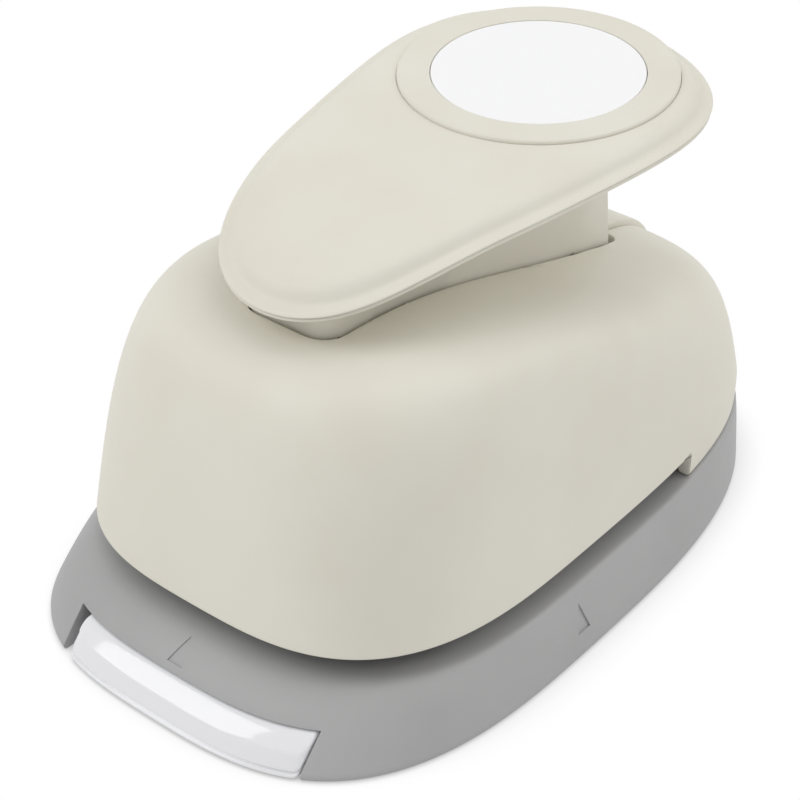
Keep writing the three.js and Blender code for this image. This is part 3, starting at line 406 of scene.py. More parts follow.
def moulded_abs(name, tone, thin_tone, low_roughness, high_roughness):
    """Injection moulded ABS from a spark eroded mould: satin, with an even grain and faint flow patches.
    The grain of 0.12 mm is drawn at 0.3 mm, because the true one is too fine to show."""
    material, tree, shader = new_material(name)
    grain = noise_of(tree, 0.0003)
    tint_by(tree, shader, noise_of(tree, 0.022, 3.0), thin_tone, tone, 0.35, 0.65)
    roughen_by(tree, shader, grain, low_roughness, high_roughness)
    raise_by(tree, shader, grain, 0.08, 0.00002)
    shader.inputs["IOR"].default_value = 1.53
    shader.inputs["Specular IOR Level"].default_value = 0.35
    return material


def wear(piece, material, body, slot, *nodes):
    """Gives a finished piece its material and its body, and hides the nodes that it stands for."""
    piece.data.materials.clear()
    piece.data.materials.append(material)
    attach(piece, body)
    if nodes:
        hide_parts(*nodes)


grey_abs = moulded_abs("grey_moulded_abs", "AEAEAE", "A9A9A9", 0.46, 0.56)

ceiling = cavity_ring(0, cavity_top)
base_profile = [toward_middle(ceiling, share) for share in reversed(cap_shares)]
base_profile += [toward_middle(ceiling, 0.97), ceiling, cavity_ring(0, cavity_top - rim_edge)]
base_profile += [cavity_ring(0, rim_edge_rise), cavity_ring(0, rim_edge_rise / 6), cavity_ring(0, 0)]
base_profile += slope_rings(0)
base_profile += [toward_middle(base_profile[-1], share) for share in [0.985] + cap_shares]
base_shell = grow("base_shell_moulding", base_profile)

ledge = plate_block(ledge_margin, pocket_floor - ledge_thickness, pocket_floor + seat_gap)
carve(base_shell, ledge, "UNION")
carve(base_shell, plate_block(pocket_gap, pocket_floor, deck_height + overrun))
chip_hole_radius = punch_radius + chip_hole_margin
carve(base_shell, rod(chip_hole_radius, (0, punch_y, -overrun), (0, punch_y, deck_height), wide_hole_steps))

notch_front_y = widest_y - base_front_reach - overrun
notch = block((-notch_left_reach, notch_front_y, -overrun), (notch_right_reach, punch_y, notch_top))
inner_rings = slope_rings(rim_width + rim_edge + seat_gap)
inner_rings += [toward_middle(inner_rings[-1], share) for share in cap_shares]
carve(notch, grow("notch_back", inner_rings))
carve(base_shell, notch)

for side in (-1, 1):
    near = Vector((side * lug_inner_x, hinge_y, hinge_height))
    far = Vector((side * lug_outer_x, hinge_y, hinge_height))
    lug_block = block(
        (min(near.x, far.x), hinge_y - lug_radius, hinge_height),
        (max(near.x, far.x), hinge_y + lug_radius, cavity_top + deck_thickness / 2),
    )
    carve(lug_block, rod(lug_radius, near, far, lug_steps), "UNION")
    carve(base_shell, lug_block, "UNION")
    past = Vector((side * overrun, 0, 0))
    carve(base_shell, rod(stub_hole_radius, near - past, far + past, hole_steps))

holes = [(f"rear_cover_screw_{side}", screw_hole_radius, hole_steps) for side in sides]
holes += [("spine_screw", screw_hole_radius, hole_steps)]
holes += [(f"die_screw_{corner}", screw_hole_radius, hole_steps) for corner in corners]
holes += [(f"plate_rivet_{side}", rivet_well_radius, lug_steps) for side in sides]
for name, radius, round_steps in holes:
    low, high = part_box(name)
    x = (low.x + high.x) / 2
    y = (low.y + high.y) / 2
    carve(base_shell, rod(radius, (x, y, 0), (x, y, deck_height + overrun), round_steps))


def side_slope_point(side, height):
    inset = slope_inset(height)
    half = base_half_width + (deck_half_width - base_half_width) * inset
    front = base_front_reach + (deck_front_reach - base_front_reach) * inset
    away = abs(punch_y - widest_y) / front
    return Vector((side * half * (1 - away ** front_squareness) ** (1 / front_squareness), punch_y, height))


def front_slope_point(height):
    front = base_front_reach + (deck_front_reach - base_front_reach) * slope_inset(height)
    return Vector((0, widest_y - front, height))


ease_edges(base_shell, base_edge_ease)
under_skin = slope_rings(mark_depth)
under_skin = grow("under_skin", under_skin + [toward_middle(under_skin[-1], share) for share in cap_shares])
for side in (-1, 1):
    mark_low = side_slope_point(side, side_mark_low)
    mark_high = side_slope_point(side, side_mark_high)
    carve(base_shell, mark_tool(mark_low, mark_high, under_skin))
mark_low = front_slope_point(notch_top + front_mark_gap)
mark_high = front_slope_point(deck_height - front_mark_gap)
carve(base_shell, mark_tool(mark_low, mark_high, under_skin))
bpy.data.objects.remove(under_skin)
ease_edges(base_shell)
wear(base_shell, grey_abs, "base", "grey_plastic", "base_shell")


# Steel plates, rivets, screws and posts. The plates are ground flat from sheet steel, and the rivets,
# screws and posts are zinc plated. They keep the shapes of the frame and get their finish here.
def ground_steel(name, tone, scratch_tone):
    """Ground steel: fine straight scratches along X, 0.25 mm apart, which stretch the highlights."""
    material, tree, shader = new_material(name)
    place = add(tree, "TexCoord")
    scratch_scale = (1 / 0.008, 1 / 0.00025, 1 / 0.00025)
    along = add(tree, "Mapping", {"Vector": place.outputs["Object"], "Scale": scratch_scale})
    scratches = add(tree, "TexNoise", {"Vector": along.outputs["Vector"], "Scale": 1.0, "Detail": 4.0})
    tint_by(tree, shader, scratches, scratch_tone, tone, 0.3, 0.7)
    roughen_by(tree, shader, scratches, 0.26, 0.42)
    raise_by(tree, shader, scratches, 0.15, 0.00001)
    shader.inputs["Metallic"].default_value = 1.0
    return material


def zinc_plate(name, tone, dull_tone):
    """Zinc plating on small turned or headed parts: a soft shine with cloudy spots about 1 mm across."""
    material, tree, shader = new_material(name)
    clouds = noise_of(tree, 0.001, 3.0)
    tint_by(tree, shader, clouds, dull_tone, tone, 0.35, 0.7)
    roughen_by(tree, shader, clouds, 0.3, 0.48)
    shader.inputs["Metallic"].default_value = 1.0
    return material


def dress(material, *names):
    """Gives CAD nodes that keep their own shape a material."""
    for name in names:
        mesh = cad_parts[name].data
        mesh.materials.clear()
        mesh.materials.append(material)


plate_steel = ground_steel("ground_sheet_steel", "B4B7BA", "8F9296")
screw_zinc = zinc_plate("zinc_plated_steel", "B9BBBE", "979A9E")
dress(plate_steel, "die_plate", "guide_plate", "paper_stop")
dress(screw_zinc, "spine_screw", "blade_screw_1", "blade_screw_2", "blade_screw_3")
dress(screw_zinc, *[f"{kind}_{side}" for kind in ("plate_rivet", "frame_screw") for side in sides])
dress(screw_zinc, *[f"{kind}_{side}" for kind in ("front_cover_screw", "rear_cover_screw") for side in sides])
dress(screw_zinc, *[f"{kind}_{corner}" for kind in ("die_screw", "guide_post") for corner in corners])


def spring_steel(name, tone, oil_tone):
    """Cold drawn wire: dark and fairly bright, with drawing streaks 0.5 mm apart."""
    material, tree, shader = new_material(name)
    tint_by(tree, shader, noise_of(tree, 0.0005), oil_tone, tone)
    shader.inputs["Metallic"].default_value = 1.0
    shader.inputs["Roughness"].default_value = 0.32
    return material


spring_wire = spring_steel("drawn_spring_steel", "8A8C90", "5E6064")
for corner in corners:
    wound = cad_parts[f"return_spring_{corner}"].data.copy()
    spring = bpy.data.objects.new(f"wound_spring_{corner}", wound)
    bpy.context.collection.objects.link(spring)
    ease_edges(spring)
    wear(spring, spring_wire, "base", "steel", f"return_spring_{corner}")
    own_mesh(spring)


# Punch: the round blade is hardened and ground, and its carrier is a black painted zinc casting.
# The wear plate on the carrier's column is hardened steel, where the lever's roller pushes.
def painted_casting(name, tone, dust_tone):
    """A zinc casting under black paint: dull, with an orange peel of about 0.8 mm."""
    material, tree, shader = new_material(name)
    peel = noise_of(tree, 0.0008, 3.0)
    tint_by(tree, shader, peel, tone, dust_tone)
    raise_by(tree, shader, peel, 0.3, 0.00005)
    shader.inputs["Roughness"].default_value = 0.6
    return material


blade_steel = ground_steel("hardened_blade_steel", "C2C5C8", "A3A6AA")
black_casting = painted_casting("black_painted_zinc", "2B2C2F", "38393C")
dress(blade_steel, "punch_blade", "wear_plate")
dress(black_casting, "punch_carrier", "pivot_frame")


# Pivot and roller: a ground pin with two split clips in the black frame, nylon bushes in the lever's
# stem, and a hardened roller on a pin of its own.
def natural_nylon(name, tone, thin_tone):
    """Unfilled nylon: waxy and slightly see-through, with soft cloudy patches of about 2 mm."""
    material, tree, shader = new_material(name)
    tint_by(tree, shader, noise_of(tree, 0.002), thin_tone, tone)
    shader.inputs["Roughness"].default_value = 0.45
    shader.inputs["Subsurface Weight"].default_value = 0.15
    shader.inputs["Subsurface Scale"].default_value = 0.002
    return material


pin_steel = ground_steel("ground_pin_steel", "BBBEC1", "9A9DA1")
bush_nylon = natural_nylon("natural_nylon", "E4E1D6", "DAD6C9")
dress(pin_steel, "pivot_pin", "roller_pin", "press_roller")
dress(spring_wire, "pin_clip_left", "pin_clip_right")
dress(bush_nylon, "pivot_bush_left", "pivot_bush_right")


# Chip tray. A clear polystyrene moulding closes the underside and hinges on two stubs at the back.
# Its front edge is a bar that fills the notch in the base, with a finger gap at the left end.
tray_gap = 0.0004
tray_lift = 0.0006
tray_floor = 0.0015
tray_rim_top = 0.0048
tray_rim_wall = 0.0013
tray_rear_reach = 0.056
bar_wall = 0.002
bar_foot = 0.0003
bar_floor_reach = 0.008
bar_top = notch_top - 0.0003
bar_ridge_height = 0.0039
bar_ridge_share = 0.14
bar_left = -notch_left_reach + 0.002
bar_right = notch_right_reach - 0.0003
ear_half_thickness = 0.0012
ear_x = 0.015
ear_front_y = hinge_y - 0.009
ear_radius = 0.0021
stub_radius = 0.0015
stub_tip_x = 0.0195


def clear_polystyrene(name, tone):
    """Clear polystyrene: glossy, slightly hazy from the mould, with faint flow lines 6 mm apart.
    It looks almost white here because its colour is painted almost white: painted light, for the light that
    clear plastic gathers from all round."""
    material, tree, shader = new_material(name)
    flow = noise_of(tree, 0.006)
    roughen_by(tree, shader, flow, 0.04, 0.14)
    raise_by(tree, shader, flow, 0.1, 0.0003)
    shader.inputs["Base Color"].default_value = linear(tone)
    shader.inputs["IOR"].default_value = 1.59
    shader.inputs["Transmission Weight"].default_value = 0.15
    return material


def tray_ring(inset, height):
    return cavity_ring(tray_gap + inset, height, tray_rear_reach)


tray_top = tray_lift + tray_floor
tray_profile = [toward_middle(tray_ring(0, tray_lift), share) for share in reversed(cap_shares)]
tray_profile += [tray_ring(0, height) for height in (tray_lift, tray_lift + rim_edge_rise / 4, tray_rim_top)]
tray_profile += [tray_ring(tray_rim_wall, height) for height in (tray_rim_top, tray_top + rim_edge_rise)]
tray_profile += [tray_ring(tray_rim_wall + rim_edge_rise, tray_top)]
tray_profile += [toward_middle(tray_profile[-1], share) for share in cap_shares]
chip_tray = grow("chip_tray_moulding", tray_profile)


def bar_point(x, inward, height):
    """A point of the bar's outside: steep below its ridge, and sloping like the base above it."""
    if height < bar_ridge_height:
        share = bar_ridge_share * max(0, height - rim_edge_rise) / (bar_ridge_height - rim_edge_rise)
    else:
        part = (height - bar_ridge_height) / (bar_top - bar_ridge_height)
        share = bar_ridge_share + (slope_inset(bar_top) - bar_ridge_share) * part
    half = base_half_width + (deck_half_width - base_half_width) * share - inward
    reach = base_front_reach + (deck_front_reach - base_front_reach) * share - inward
    y = widest_y - reach * (1 - abs(x / half) ** front_squareness) ** (1 / front_squareness)
    return Vector((x, y, height))


# The bar's section, as how far in from its outside and how high, with a fine groove above its lip
bar_section = [
    (0.0007, bar_foot), (0.0003, 0.00034), (0.00008, 0.00055), (0.00008, 0.00085), (0.0002, 0.00102),
    (0.00042, 0.0011), (0.00045, 0.0012), (0.00042, 0.0013), (0.00016, 0.00138), (0.00002, 0.00155),
    (0, 0.0022), (0, 0.003), (0, 0.0036), (0.00005, bar_ridge_height), (0.00004, 0.0042), (0, 0.0047),
    (0, 0.0052), (0.00004, 0.0056), (0.00016, 0.00578), (0.0004, bar_top),
    (bar_wall - 0.0004, bar_top), (bar_wall - 0.0001, bar_top - 0.0001), (bar_wall, bar_top - 0.0004),
    (bar_wall, 0.0042), (bar_wall, 0.003), (bar_wall, tray_top), (bar_floor_reach, tray_top),
    (bar_floor_reach, tray_lift), (bar_wall, tray_lift), (0.0012, bar_foot),
]
bar_end_round = 0.0007
bar_end_steps = 5
bar_steps = 26


def bar_ring(x, ease):
    """The bar's section at one place, drawn in towards its own middle by an ease at the ends."""
    ring = [bar_point(x, inward, height) for inward, height in bar_section]
    middle_height = (bar_foot + bar_top) / 2
    middle_y = bar_point(x, bar_wall / 2, middle_height).y
    for point in ring:
        point.z += math.copysign(min(ease, abs(point.z - middle_height)), middle_height - point.z)
        point.y += math.copysign(min(ease, abs(point.y - middle_y)), middle_y - point.y)
    return ring


bar_ends = []
for step in range(bar_end_steps + 1):
    turn = math.pi / 2 * step / bar_end_steps
    bar_ends.append((bar_end_round * (1 - math.cos(turn)), bar_end_round * (1 - math.sin(turn))))
bar_straight = bar_right - bar_left - bar_end_round * 2
bar_rings = [bar_ring(bar_left + along, ease) for along, ease in bar_ends]
for step in range(1, bar_steps):
    bar_rings.append(bar_ring(bar_left + bar_end_round + bar_straight * step / bar_steps, 0))
bar_rings += [bar_ring(bar_right - along, ease) for along, ease in reversed(bar_ends)]
carve(chip_tray, grow("tray_bar", bar_rings), "UNION")
for side in (-1, 1):
    ear = block(
        (side * ear_x - ear_half_thickness, ear_front_y, tray_lift),
        (side * ear_x + ear_half_thickness, hinge_y, hinge_height),
    )
    for radius, inner_x, outer_x in (
        (ear_radius, ear_x - ear_half_thickness, ear_x + ear_half_thickness),
        (stub_radius, ear_x, stub_tip_x),
    ):
        inner_end = (side * inner_x, hinge_y, hinge_height)
        carve(ear, rod(radius, inner_end, (side * outer_x, hinge_y, hinge_height), lug_steps), "UNION")
    carve(chip_tray, ear, "UNION")
ease_edges(chip_tray)
# The near-white tone is painted light, for the light that the clear tray gathers from all round.
clear_tray = clear_polystyrene("clear_polystyrene", "FCFCFF")
wear(chip_tray, clear_tray, "tray", "clear_plastic", "chip_tray")


# Cover shell. The cream dome is one ABS moulding over the mechanism, open at its underside, where the
# paper goes in at the front and the sides. A long slot in its crown lets the lever's stem through.
cover_half_width = 0.0359
cover_front_reach = 0.0454
cover_rear_reach = 0.0681
cover_wall = 0.0022
cover_edge_height = 0.0152
cover_skirt_bottom = 0.0109
cover_step_y = 0.0244
crown_height = 0.053
crown_fall = 0.017
crown_front_y = -0.032
crown_rear_y = 0.058
dome_front_power = 9
dome_rear_power = 15.5
dome_rise = 1.08
dome_shares = [0.08, 0.2, 0.34, 0.47, 0.58, 0.66, 0.73, 0.775, 0.81, 0.84, 0.865, 0.887, 0.905]
dome_shares += [0.921, 0.935, 0.948, 0.96, 0.97, 0.978, 0.986, 0.992, 0.997, 1]
inside_shares = [0.08, 0.3, 0.5, 0.65, 0.75, 0.83, 0.89, 0.93, 0.96, 0.98, 0.992, 1]
slot_half_width = 0.0085
slot_front_y = -0.0325
slot_rear_y = 0.041
slot_corner = 0.004
slot_rear_corner = 0.0025
channel_half_width = 0.005
cover_rear_y = widest_y + cover_rear_reach
boss_radius = 0.0034
boss_hole_radius = 0.0015
cover_edge_ease = 0.0003
cover_sharpest = 45


def crown_at(y):
    run = min(max((y - crown_front_y) / (crown_rear_y - crown_front_y), 0), 1)
    return crown_height - crown_fall * (1 - math.cos(math.pi * run)) / 2


def cover_ring(inward, height):
    ring = []
    for i in range(outline_steps):
        point = plan_point(
            2 * math.pi * i / outline_steps, cover_half_width - inward, cover_front_reach - inward,
            cover_rear_reach - inward, deck_rear_squareness,
        )
        point.z = height
        ring.append(point)
    return ring


def dome_ring(share, inward):
    """A ring of the dome, a share of the way out from its middle to its edge."""
    ring = []
    for point in cover_ring(inward, 0):
        y = widest_y + (point.y - widest_y) * share
        along = (y - widest_y + cover_front_reach) / (cover_front_reach + cover_rear_reach)
        power = dome_front_power + (dome_rear_power - dome_front_power) * along
        rise = (1 - share ** power) ** dome_rise
        height = cover_edge_height + (crown_at(y) - inward - cover_edge_height) * rise
        ring.append(Vector((point.x * share, y, height)))
    return ring


def dome_moulding(name, proud):
    """The whole dome as a closed shell, whose outside may stand a little proud."""
    skirt_edge = cover_skirt_bottom + rim_edge / 3
    rings = [dome_ring(share, -proud) for share in dome_shares]
    rings += [cover_ring(-proud, height) for height in (skirt_edge, cover_skirt_bottom)]
    rings += [cover_ring(cover_wall, height) for height in (cover_skirt_bottom, skirt_edge)]
    rings += [dome_ring(share, cover_wall) for share in reversed(inside_shares)]
    return grow(name, rings)


cover_shell = dome_moulding("cover_moulding", 0)

far = base_front_reach + base_rear_reach
carve(cover_shell, block((-far, -far, 0), (far, cover_step_y, cover_edge_height)))
half_wall = cover_wall / 2
inner_rings = [cover_ring(half_wall, 0)] + [dome_ring(share, half_wall) for share in reversed(inside_shares)]
inner_fill = grow("inner_fill", inner_rings)
for name in [f"{end}_cover_screw_{side}" for end in ("front", "rear") for side in sides]:
    low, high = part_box(name)
    x = (low.x + high.x) / 2
    y = (low.y + high.y) / 2
    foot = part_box("guide_plate")[1].z + seat_gap if y < widest_y else cover_skirt_bottom
    boss = rod(boss_radius, (x, y, foot), (x, y, crown_height), lug_steps)
    carve(boss, copy_of(inner_fill, "boss_limit"), "INTERSECT")
    carve(cover_shell, boss, "UNION")
    carve(cover_shell, rod(boss_hole_radius, (x, y, 0), (x, y, high.z + seat_gap), hole_steps))
bpy.data.objects.remove(inner_fill)
slot_tool = rounded_block(
    (-slot_half_width, slot_front_y, cover_edge_height),
    (slot_half_width, slot_rear_y, crown_height + overrun), slot_corner, slot_rear_corner,
)
carve(cover_shell, slot_tool)
channel_front_y = slot_rear_y - overrun
carve(cover_shell, block((-channel_half_width, channel_front_y, 0), (channel_half_width, far, crown_height)))
ease_edges(cover_shell, cover_edge_ease, cover_sharpest)
cream_abs = moulded_abs("cream_moulded_abs", "E3E0D4", "DFDBCE", 0.44, 0.54)
wear(cover_shell, cream_abs, "base", "cream_plastic", "cover_shell")


# Rear spine. A cream ABS strip closes the slot behind the lever and follows the dome down to the deck.
# It is screwed to the deck from below, and it lies in the cover's rear channel with a thin gap each side.
spine_half_width = 0.0047
spine_proud = 0.00085
spine_front_y = 0.0413
spine_foot_front_y = 0.0471
spine_foot_height = 0.0082
band = block((-spine_half_width, spine_front_y, 0), (spine_half_width, far, crown_height))
rear_spine = dome_moulding("rear_spine_moulding", spine_proud)
carve(rear_spine, band, "INTERSECT")
foot = block(
    (-spine_half_width, spine_foot_front_y, cover_skirt_bottom),
    (spine_half_width, cover_rear_y - cover_wall / 2, cover_skirt_bottom + spine_foot_height),
)
carve(rear_spine, foot, "UNION")
low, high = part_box("spine_screw")
y = (low.y + high.y) / 2
carve(rear_spine, rod(boss_hole_radius, (0, y, 0), (0, y, high.z + seat_gap), hole_steps))
ease_edges(rear_spine, cover_edge_ease, cover_sharpest)
wear(rear_spine, cream_abs, "base", "cream_plastic", "rear_spine")


# Lever body. One cream ABS moulding: a thin lip that closes the lever's underside, and the hollow stem
# that goes down through the slot and holds the pivot bushes and the roller pin.
lever_half_width = 0.0247
lever_length = 0.0881
lever_mid_y = 0.0071
lever_bulge_shares = [0.33, 0.42, 0.08, -0.137, -0.275]
lever_tilt = math.radians(3.6)
lever_droop = 0.0055
lever_steps = 96
disc_y = 0.02685
disc_height = 0.0692
droop_start = 0.0355
lip_top_drop = 0.0026
lip_thickness = 0.001
lip_inset = 0.00015
stem_half_width = 0.008
stem_wall = 0.002
stem_front_y = -0.032
stem_rear_y = 0.039
stem_rear_lean = 0.0053
stem_front_corner = 0.0035
stem_rear_corner = 0.0009
stem_bottom_front = 0.037
stem_bottom_middle = 0.040
stem_bottom_rear = 0.0335
stem_arch_front_y = -0.017
stem_foot_y = 0.028
pivot_y = -0.025
pivot_height = 0.044
bush_hole_radius = 0.0036
pin_hole_gap = 0.0001
body_edge_ease = 0.00025
roller_pin_low, roller_pin_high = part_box("roller_pin")
fill_shares = [0.05, 0.2, 0.4, 0.6, 0.8]
lip_round = 0.0003


def lever_outline(inward):
    """The egg of the lever seen from above, moved in square to its own edge."""
    points = []
    for i in range(lever_steps):
        turn = 2 * math.pi * i / lever_steps
        s = math.sin(turn)
        bulge = 1 + sum(k * s ** (n + 1) for n, k in enumerate(lever_bulge_shares))
        x = lever_half_width * math.cos(turn) * bulge
        points.append(Vector((x, lever_mid_y + lever_length / 2 * s, 0)))
    moved = []
    for i, point in enumerate(points):
        along = (points[(i + 1) % lever_steps] - points[i - 1]).normalized()
        moved.append(Vector((point.x - along.y * inward, point.y + along.x * inward, 0)))
    return moved


def lever_top_at(y):
    front = disc_y - droop_start
    tip = lever_mid_y - lever_length / 2
    run = max(0, front - y) / (front - tip)
    return disc_height + (y - disc_y) * math.tan(lever_tilt) - lever_droop * run ** 2


def lever_ring(inward, drop, share=1):
    ring = []
    for point in lever_outline(inward):
        y = disc_y + (point.y - disc_y) * share
        ring.append(Vector((point.x * share, y, lever_top_at(y) - drop)))
    return ring


lip_bottom_drop = lip_top_drop + lip_thickness
lip_flat = lip_inset + lip_round
lip_profile = [lever_ring(lip_flat, lip_top_drop, share) for share in fill_shares]
lip_profile += [lever_ring(lip_flat, lip_top_drop), lever_ring(lip_inset, lip_top_drop + lip_round / 3)]
lip_profile += [lever_ring(lip_inset, lip_bottom_drop - lip_round), lever_ring(lip_flat, lip_bottom_drop)]
lip_profile += [lever_ring(lip_flat, lip_bottom_drop, share) for share in reversed(fill_shares)]
lever_body = grow("lever_body_moulding", lip_profile)


def stem_block(inward):
    """The stem under the lever's own surface, with a leaning back. Outside it has an arched underside,
    and moved inward it is the plain tool that hollows it out."""
    low = (-stem_half_width + inward, stem_front_y + inward, stem_bottom_rear - overrun)
    high = (stem_half_width - inward, stem_rear_y - inward, disc_height)
    if inward:
        stem = block(low, high)
    else:
        stem = rounded_block(low, high, stem_front_corner, stem_rear_corner)
        carve(stem, block((-far, -far, 0), (far, stem_arch_front_y, stem_bottom_front)))
        carve(stem, block((-far, stem_arch_front_y - overrun, 0), (far, stem_foot_y, stem_bottom_middle)))
        carve(stem, block((-far, stem_foot_y - overrun, 0), (far, far, stem_bottom_rear)))
    lean = math.atan(stem_rear_lean / (disc_height - stem_bottom_rear))
    select_only(stem)
    bpy.ops.object.mode_set(mode="EDIT")
    bpy.ops.mesh.select_all(action="SELECT")
    bpy.ops.mesh.bisect(
        plane_co=(0, stem_rear_y - inward, stem_bottom_rear), plane_no=(0, math.cos(lean), math.sin(lean)),
        use_fill=True, clear_outer=True,
    )
    bpy.ops.object.mode_set(mode="OBJECT")
    roof_drop = lip_top_drop + lip_thickness / 2
    under_lever = [lever_ring(lip_inset, roof_drop, share) for share in fill_shares + [1]]
    under_lever += [[Vector((p.x, p.y, 0)) for p in under_lever[-1]]]
    if inward:
        for point in [p for ring in under_lever for p in ring]:
            point.z = max(point.z - lip_thickness / 2, 0)
    carve(stem, grow("under_lever", under_lever, 0), "INTERSECT")
    return stem


stem = stem_block(0)
carve(stem, stem_block(stem_wall))
carve(lever_body, stem, "UNION")
across = stem_half_width + overrun
roller_pin_middle = (roller_pin_low + roller_pin_high) / 2
pin_hole_radius = (roller_pin_high.z - roller_pin_low.z) / 2 + pin_hole_gap
for radius, y, z in (
    (bush_hole_radius, pivot_y, pivot_height),
    (pin_hole_radius, roller_pin_middle.y, roller_pin_middle.z),
):
    carve(lever_body, rod(radius, (-across, y, z), (across, y, z)))
ease_edges(lever_body, body_edge_ease, cover_sharpest)
wear(lever_body, cream_abs, "lever", "cream_plastic", "lever_body")


# Lever top. The cream cap is an ABS moulding with a wide soft shoulder, which runs out into a narrow
# bead along its lower edge. It is pressed on to the lever body, and its seam shows as a thin line.
cap_bottom_drop = 0.0025
cap_skin = 0.002
cap_wall = 0.0018
cap_flat_shares = [0.03, 0.12, 0.25, 0.38, 0.5, 0.62, 0.74, 0.86, 0.95]
shoulder_reach = 0.0052
# The shoulder and the bead, as how far in from the lever's edge and how far down
edge_profile = [
    (shoulder_reach, 0), (0.0042, 0.00006), (0.0034, 0.00022), (0.0028, 0.0005), (0.0024, 0.00088),
    (0.0021, 0.0013), (0.00185, 0.0017), (0.00155, 0.00195), (0.0011, 0.00203), (0.0005, 0.0021),
    (0.00015, 0.0022), (0, 0.00236),
]
cap_profile = [lever_ring(shoulder_reach, 0, share) for share in cap_flat_shares]
cap_profile += [lever_ring(inward, drop) for inward, drop in edge_profile]
cap_profile += [lever_ring(0, cap_bottom_drop), lever_ring(cap_wall, cap_bottom_drop)]
cap_profile += [lever_ring(cap_wall, cap_skin), lever_ring(cap_wall, cap_skin, 0.97)]
cap_profile += [lever_ring(cap_wall, cap_skin, share) for share in reversed(fill_shares)]
lever_top = grow("lever_cap_moulding", cap_profile)
ring_radius = 0.0216
ring_thickness = 0.0015
ring_proud = 0.0006
sample_radius = 0.0164
sample_thickness = 0.0008
sample_sunk = 0.0001
ring_pocket_gap = 0.00008
ring_steps = 192
ring_pocket_steps = 160
disc_middle = Vector((0, disc_y, disc_height))
disc_axis = Vector((0, -math.sin(lever_tilt), math.cos(lever_tilt)))
pocket = rod(
    ring_radius + ring_pocket_gap, disc_middle + disc_axis * (ring_proud - ring_thickness - seat_gap),
    disc_middle + disc_axis * overrun, ring_pocket_steps,
)
carve(lever_top, pocket)
ease_edges(lever_top)
wear(lever_top, cream_abs, "lever", "cream_plastic", "lever_top")


# Sample ring. A cream ABS ring with a soft outer edge, pressed into the lever top around the disc.
# Its section is eased on the flat and then spun round the ring's own axis.
ring_inner_ease = 0.00012
ring_outer_ease = 0.00045
ring_floor_overlap = 0.0004
ring_floor_steps = 96
fine_weld_distance = 0.000005


def spun_section(name, outline):
    """A flat outline of radius and height, filled and spun once round the disc's axis."""
    bpy.ops.object.select_all(action="DESELECT")
    bpy.ops.mesh.primitive_circle_add(vertices=len(outline), radius=ring_radius)
    piece = bpy.context.object
    piece.name = name
    sideways = Vector((1, 0, 0))
    bpy.ops.object.mode_set(mode="EDIT")
    work = bmesh.from_edit_mesh(piece.data)
    work.verts.ensure_lookup_table()
    for vertex, (radius, height) in zip(list(work.verts), outline):
        vertex.co = disc_middle + sideways * radius + disc_axis * height
    bmesh.update_edit_mesh(piece.data)
    bpy.ops.mesh.select_all(action="SELECT")
    bpy.ops.mesh.spin(steps=ring_steps, angle=2 * math.pi, center=disc_middle, axis=disc_axis)
    bpy.ops.mesh.select_all(action="SELECT")
    bpy.ops.mesh.remove_doubles(threshold=fine_weld_distance)
    bpy.ops.mesh.normals_make_consistent(inside=False)
    bpy.ops.object.mode_set(mode="OBJECT")
    return piece


def eased_section(inner, outer, bottom, top, inner_ease, outer_ease):
    """A four-sided section whose two upper corners are quarter circles."""
    turns = [math.pi / 2 * k / 5 for k in range(6)]
    outline = [(inner, bottom), (outer, bottom)]
    for turn in turns:
        outline.append((outer - outer_ease * (1 - math.cos(turn)), top - outer_ease * (1 - math.sin(turn))))
    for turn in turns:
        outline.append((inner + inner_ease * (1 - math.sin(turn)), top - inner_ease * (1 - math.cos(turn))))
    return outline


ring_bottom = ring_proud - ring_thickness
well_floor = ring_proud - sample_sunk - sample_thickness - seat_gap
ring_outline = eased_section(
    sample_radius + ring_inner_ease, ring_radius, ring_bottom, ring_proud, ring_inner_ease, ring_outer_ease,
)
sample_ring = spun_section("sample_ring_moulding", ring_outline)
ring_floor = rod(
    sample_radius + ring_floor_overlap, disc_middle + disc_axis * ring_bottom,
    disc_middle + disc_axis * well_floor, ring_floor_steps,
)
carve(sample_ring, ring_floor, "UNION")
ease_edges(sample_ring)
wear(sample_ring, cream_abs, "lever", "cream_plastic", "sample_ring")


# Sample disc. A white card disc, let into the ring with its face a hair below the ring's. It shows the
# round shape that the punch cuts, at about two thirds of the size.
disc_edge_ease = 0.00006


def white_card(name, tone, fibre_tone):
    """Smooth coated card: matt white, with fibres about 0.6 mm long that barely show."""
    material, tree, shader = new_material(name)
    fibres = noise_of(tree, 0.0006, 5.0)
    tint_by(tree, shader, fibres, fibre_tone, tone, 0.3, 0.6)
    raise_by(tree, shader, fibres, 0.03, 0.00001)
    shader.inputs["Roughness"].default_value = 0.62
    shader.inputs["Specular IOR Level"].default_value = 0.3
    return material


disc_top = ring_proud - sample_sunk
disc_outline = [(0.0, disc_top - sample_thickness), (sample_radius, disc_top - sample_thickness)]
disc_outline += [(sample_radius, disc_top - disc_edge_ease), (sample_radius - disc_edge_ease, disc_top)]
disc_outline += [(0.0, disc_top)]
sample_disc = spun_section("sample_disc_card", disc_outline)
ease_edges(sample_disc)
disc_card = white_card("white_coated_card", "F8F8F9", "F7F7F8")
wear(sample_disc, disc_card, "lever", "white_plastic", "sample_disc")


# Table. A plain white sweep that shows pure white, with a narrow soft shadow where the base meets it.
# Both it and the room look white to the camera, also in gloss and through clear plastic.
table_size = 3.0
shadow_reach = 0.012
fill_level = 0.6


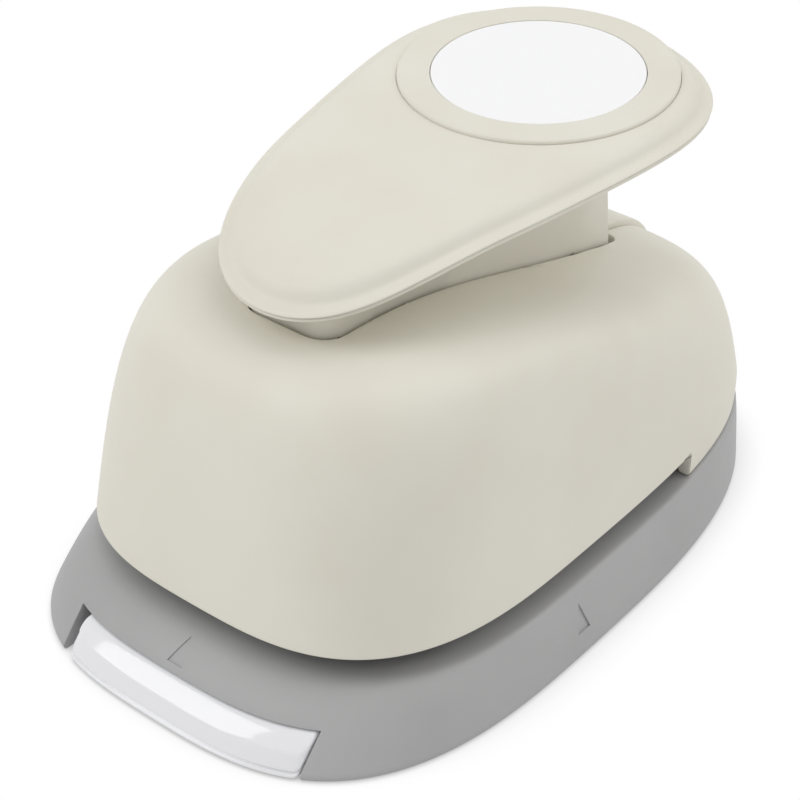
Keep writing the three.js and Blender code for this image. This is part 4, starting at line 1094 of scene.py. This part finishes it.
def seen_directly(tree):
    """One where a ray comes straight from the camera, or by gloss or through something clear."""
    path = add(tree, "LightPath")
    rays = {0: path.outputs["Is Camera Ray"], 1: path.outputs["Is Glossy Ray"]}
    direct = add(tree, "Math", rays, operation="MAXIMUM")
    rays = {0: direct.outputs[0], 1: path.outputs["Is Transmission Ray"]}
    return add(tree, "Math", rays, operation="MAXIMUM").outputs[0]


def white_table(name):
    material = bpy.data.materials.new(name)
    material.use_nodes = True
    tree = material.node_tree
    tree.nodes.clear()
    bounce = add(tree, "BsdfDiffuse", {"Color": linear("F0F0F0")})
    near = add(tree, "AmbientOcclusion", {"Distance": shadow_reach}, samples=16)
    shade = add(tree, "ValToRGB", {"Fac": near.outputs["AO"]})
    shade.color_ramp.elements[0].position = 0.1
    shade.color_ramp.elements[0].color = linear("A8A8A8")
    shade.color_ramp.elements[1].position = 0.8
    shade.color_ramp.elements[1].color = linear("FFFFFF")
    seen = add(tree, "Emission", {"Color": shade.outputs["Color"], "Strength": 1.0})
    both = add(tree, "MixShader", {0: seen_directly(tree), 1: bounce.outputs[0], 2: seen.outputs[0]})
    add(tree, "OutputMaterial", {"Surface": both.outputs[0]})
    return material


bpy.ops.object.select_all(action="DESELECT")
bpy.ops.mesh.primitive_plane_add(size=table_size, location=(0, 0, 0))
table = bpy.context.object
table.name = "table"
table.data.materials.append(white_table("white_table"))


# Studio. An even white room that fills the shadows, with three wide soft lamps: the key on the camera's
# left, one above, and one behind on the right that lights the edge of the lever and the cover's side.
world = bpy.data.worlds.new("white_room")
bpy.context.scene.world = world
world.use_nodes = True
room = world.node_tree
room.nodes.clear()
level = add(room, "MapRange", {"Value": seen_directly(room), "To Min": fill_level, "To Max": 1.0})
sky = add(room, "Background", {"Color": (1, 1, 1, 1), "Strength": level.outputs[0]})
add(room, "OutputWorld", {"Surface": sky.outputs[0]})


def soft_lamp(name, place, aim, width, power):
    bpy.ops.object.select_all(action="DESELECT")
    bpy.ops.object.light_add(type="AREA", location=place)
    lamp = bpy.context.object
    lamp.name = name
    lamp.data.shape = "SQUARE"
    lamp.data.size = width
    lamp.data.energy = power
    lamp.rotation_euler = (Vector(aim) - Vector(place)).to_track_quat("-Z", "Y").to_euler()
    return lamp


soft_lamp("key_lamp", (-0.5, -0.65, 0.75), (0, 0, 0.03), 0.6, 3.3)
soft_lamp("top_lamp", (0.1, 0.2, 1.0), (0, 0, 0.05), 0.5, 1.0)
soft_lamp("rear_lamp", (0.6, 0.6, 0.7), (0, 0, 0.03), 0.6, 2.3)


# Camera, at the photograph's viewing angle, with its slight roll. The angles, the distance and the
# lens were fitted to the outlines in the photograph.
camera_turn = math.radians(38.1)
camera_rise = math.radians(34.5)
camera_roll = math.radians(1.1)
camera_aim = Vector((-0.0009, -0.0045, 0.025))
camera_distance = 0.3116
camera_lens = 90.72
back = Vector((
    math.sin(camera_turn) * math.cos(camera_rise), -math.cos(camera_turn) * math.cos(camera_rise),
    math.sin(camera_rise),
))
level_right = Vector((math.cos(camera_turn), math.sin(camera_turn), 0))
level_up = back.cross(level_right)
right = level_right * math.cos(camera_roll) + level_up * math.sin(camera_roll)
up = level_up * math.cos(camera_roll) - level_right * math.sin(camera_roll)
bpy.ops.object.select_all(action="DESELECT")
bpy.ops.object.camera_add(location=camera_aim + back * camera_distance)
camera = bpy.context.object
camera.rotation_euler = Matrix((right, up, back)).transposed().to_euler()
camera.data.lens = camera_lens
camera.data.sensor_width = 36
camera.data.clip_start = 0.01
bpy.context.scene.camera = camera
bpy.context.scene.view_settings.view_transform = "Standard"
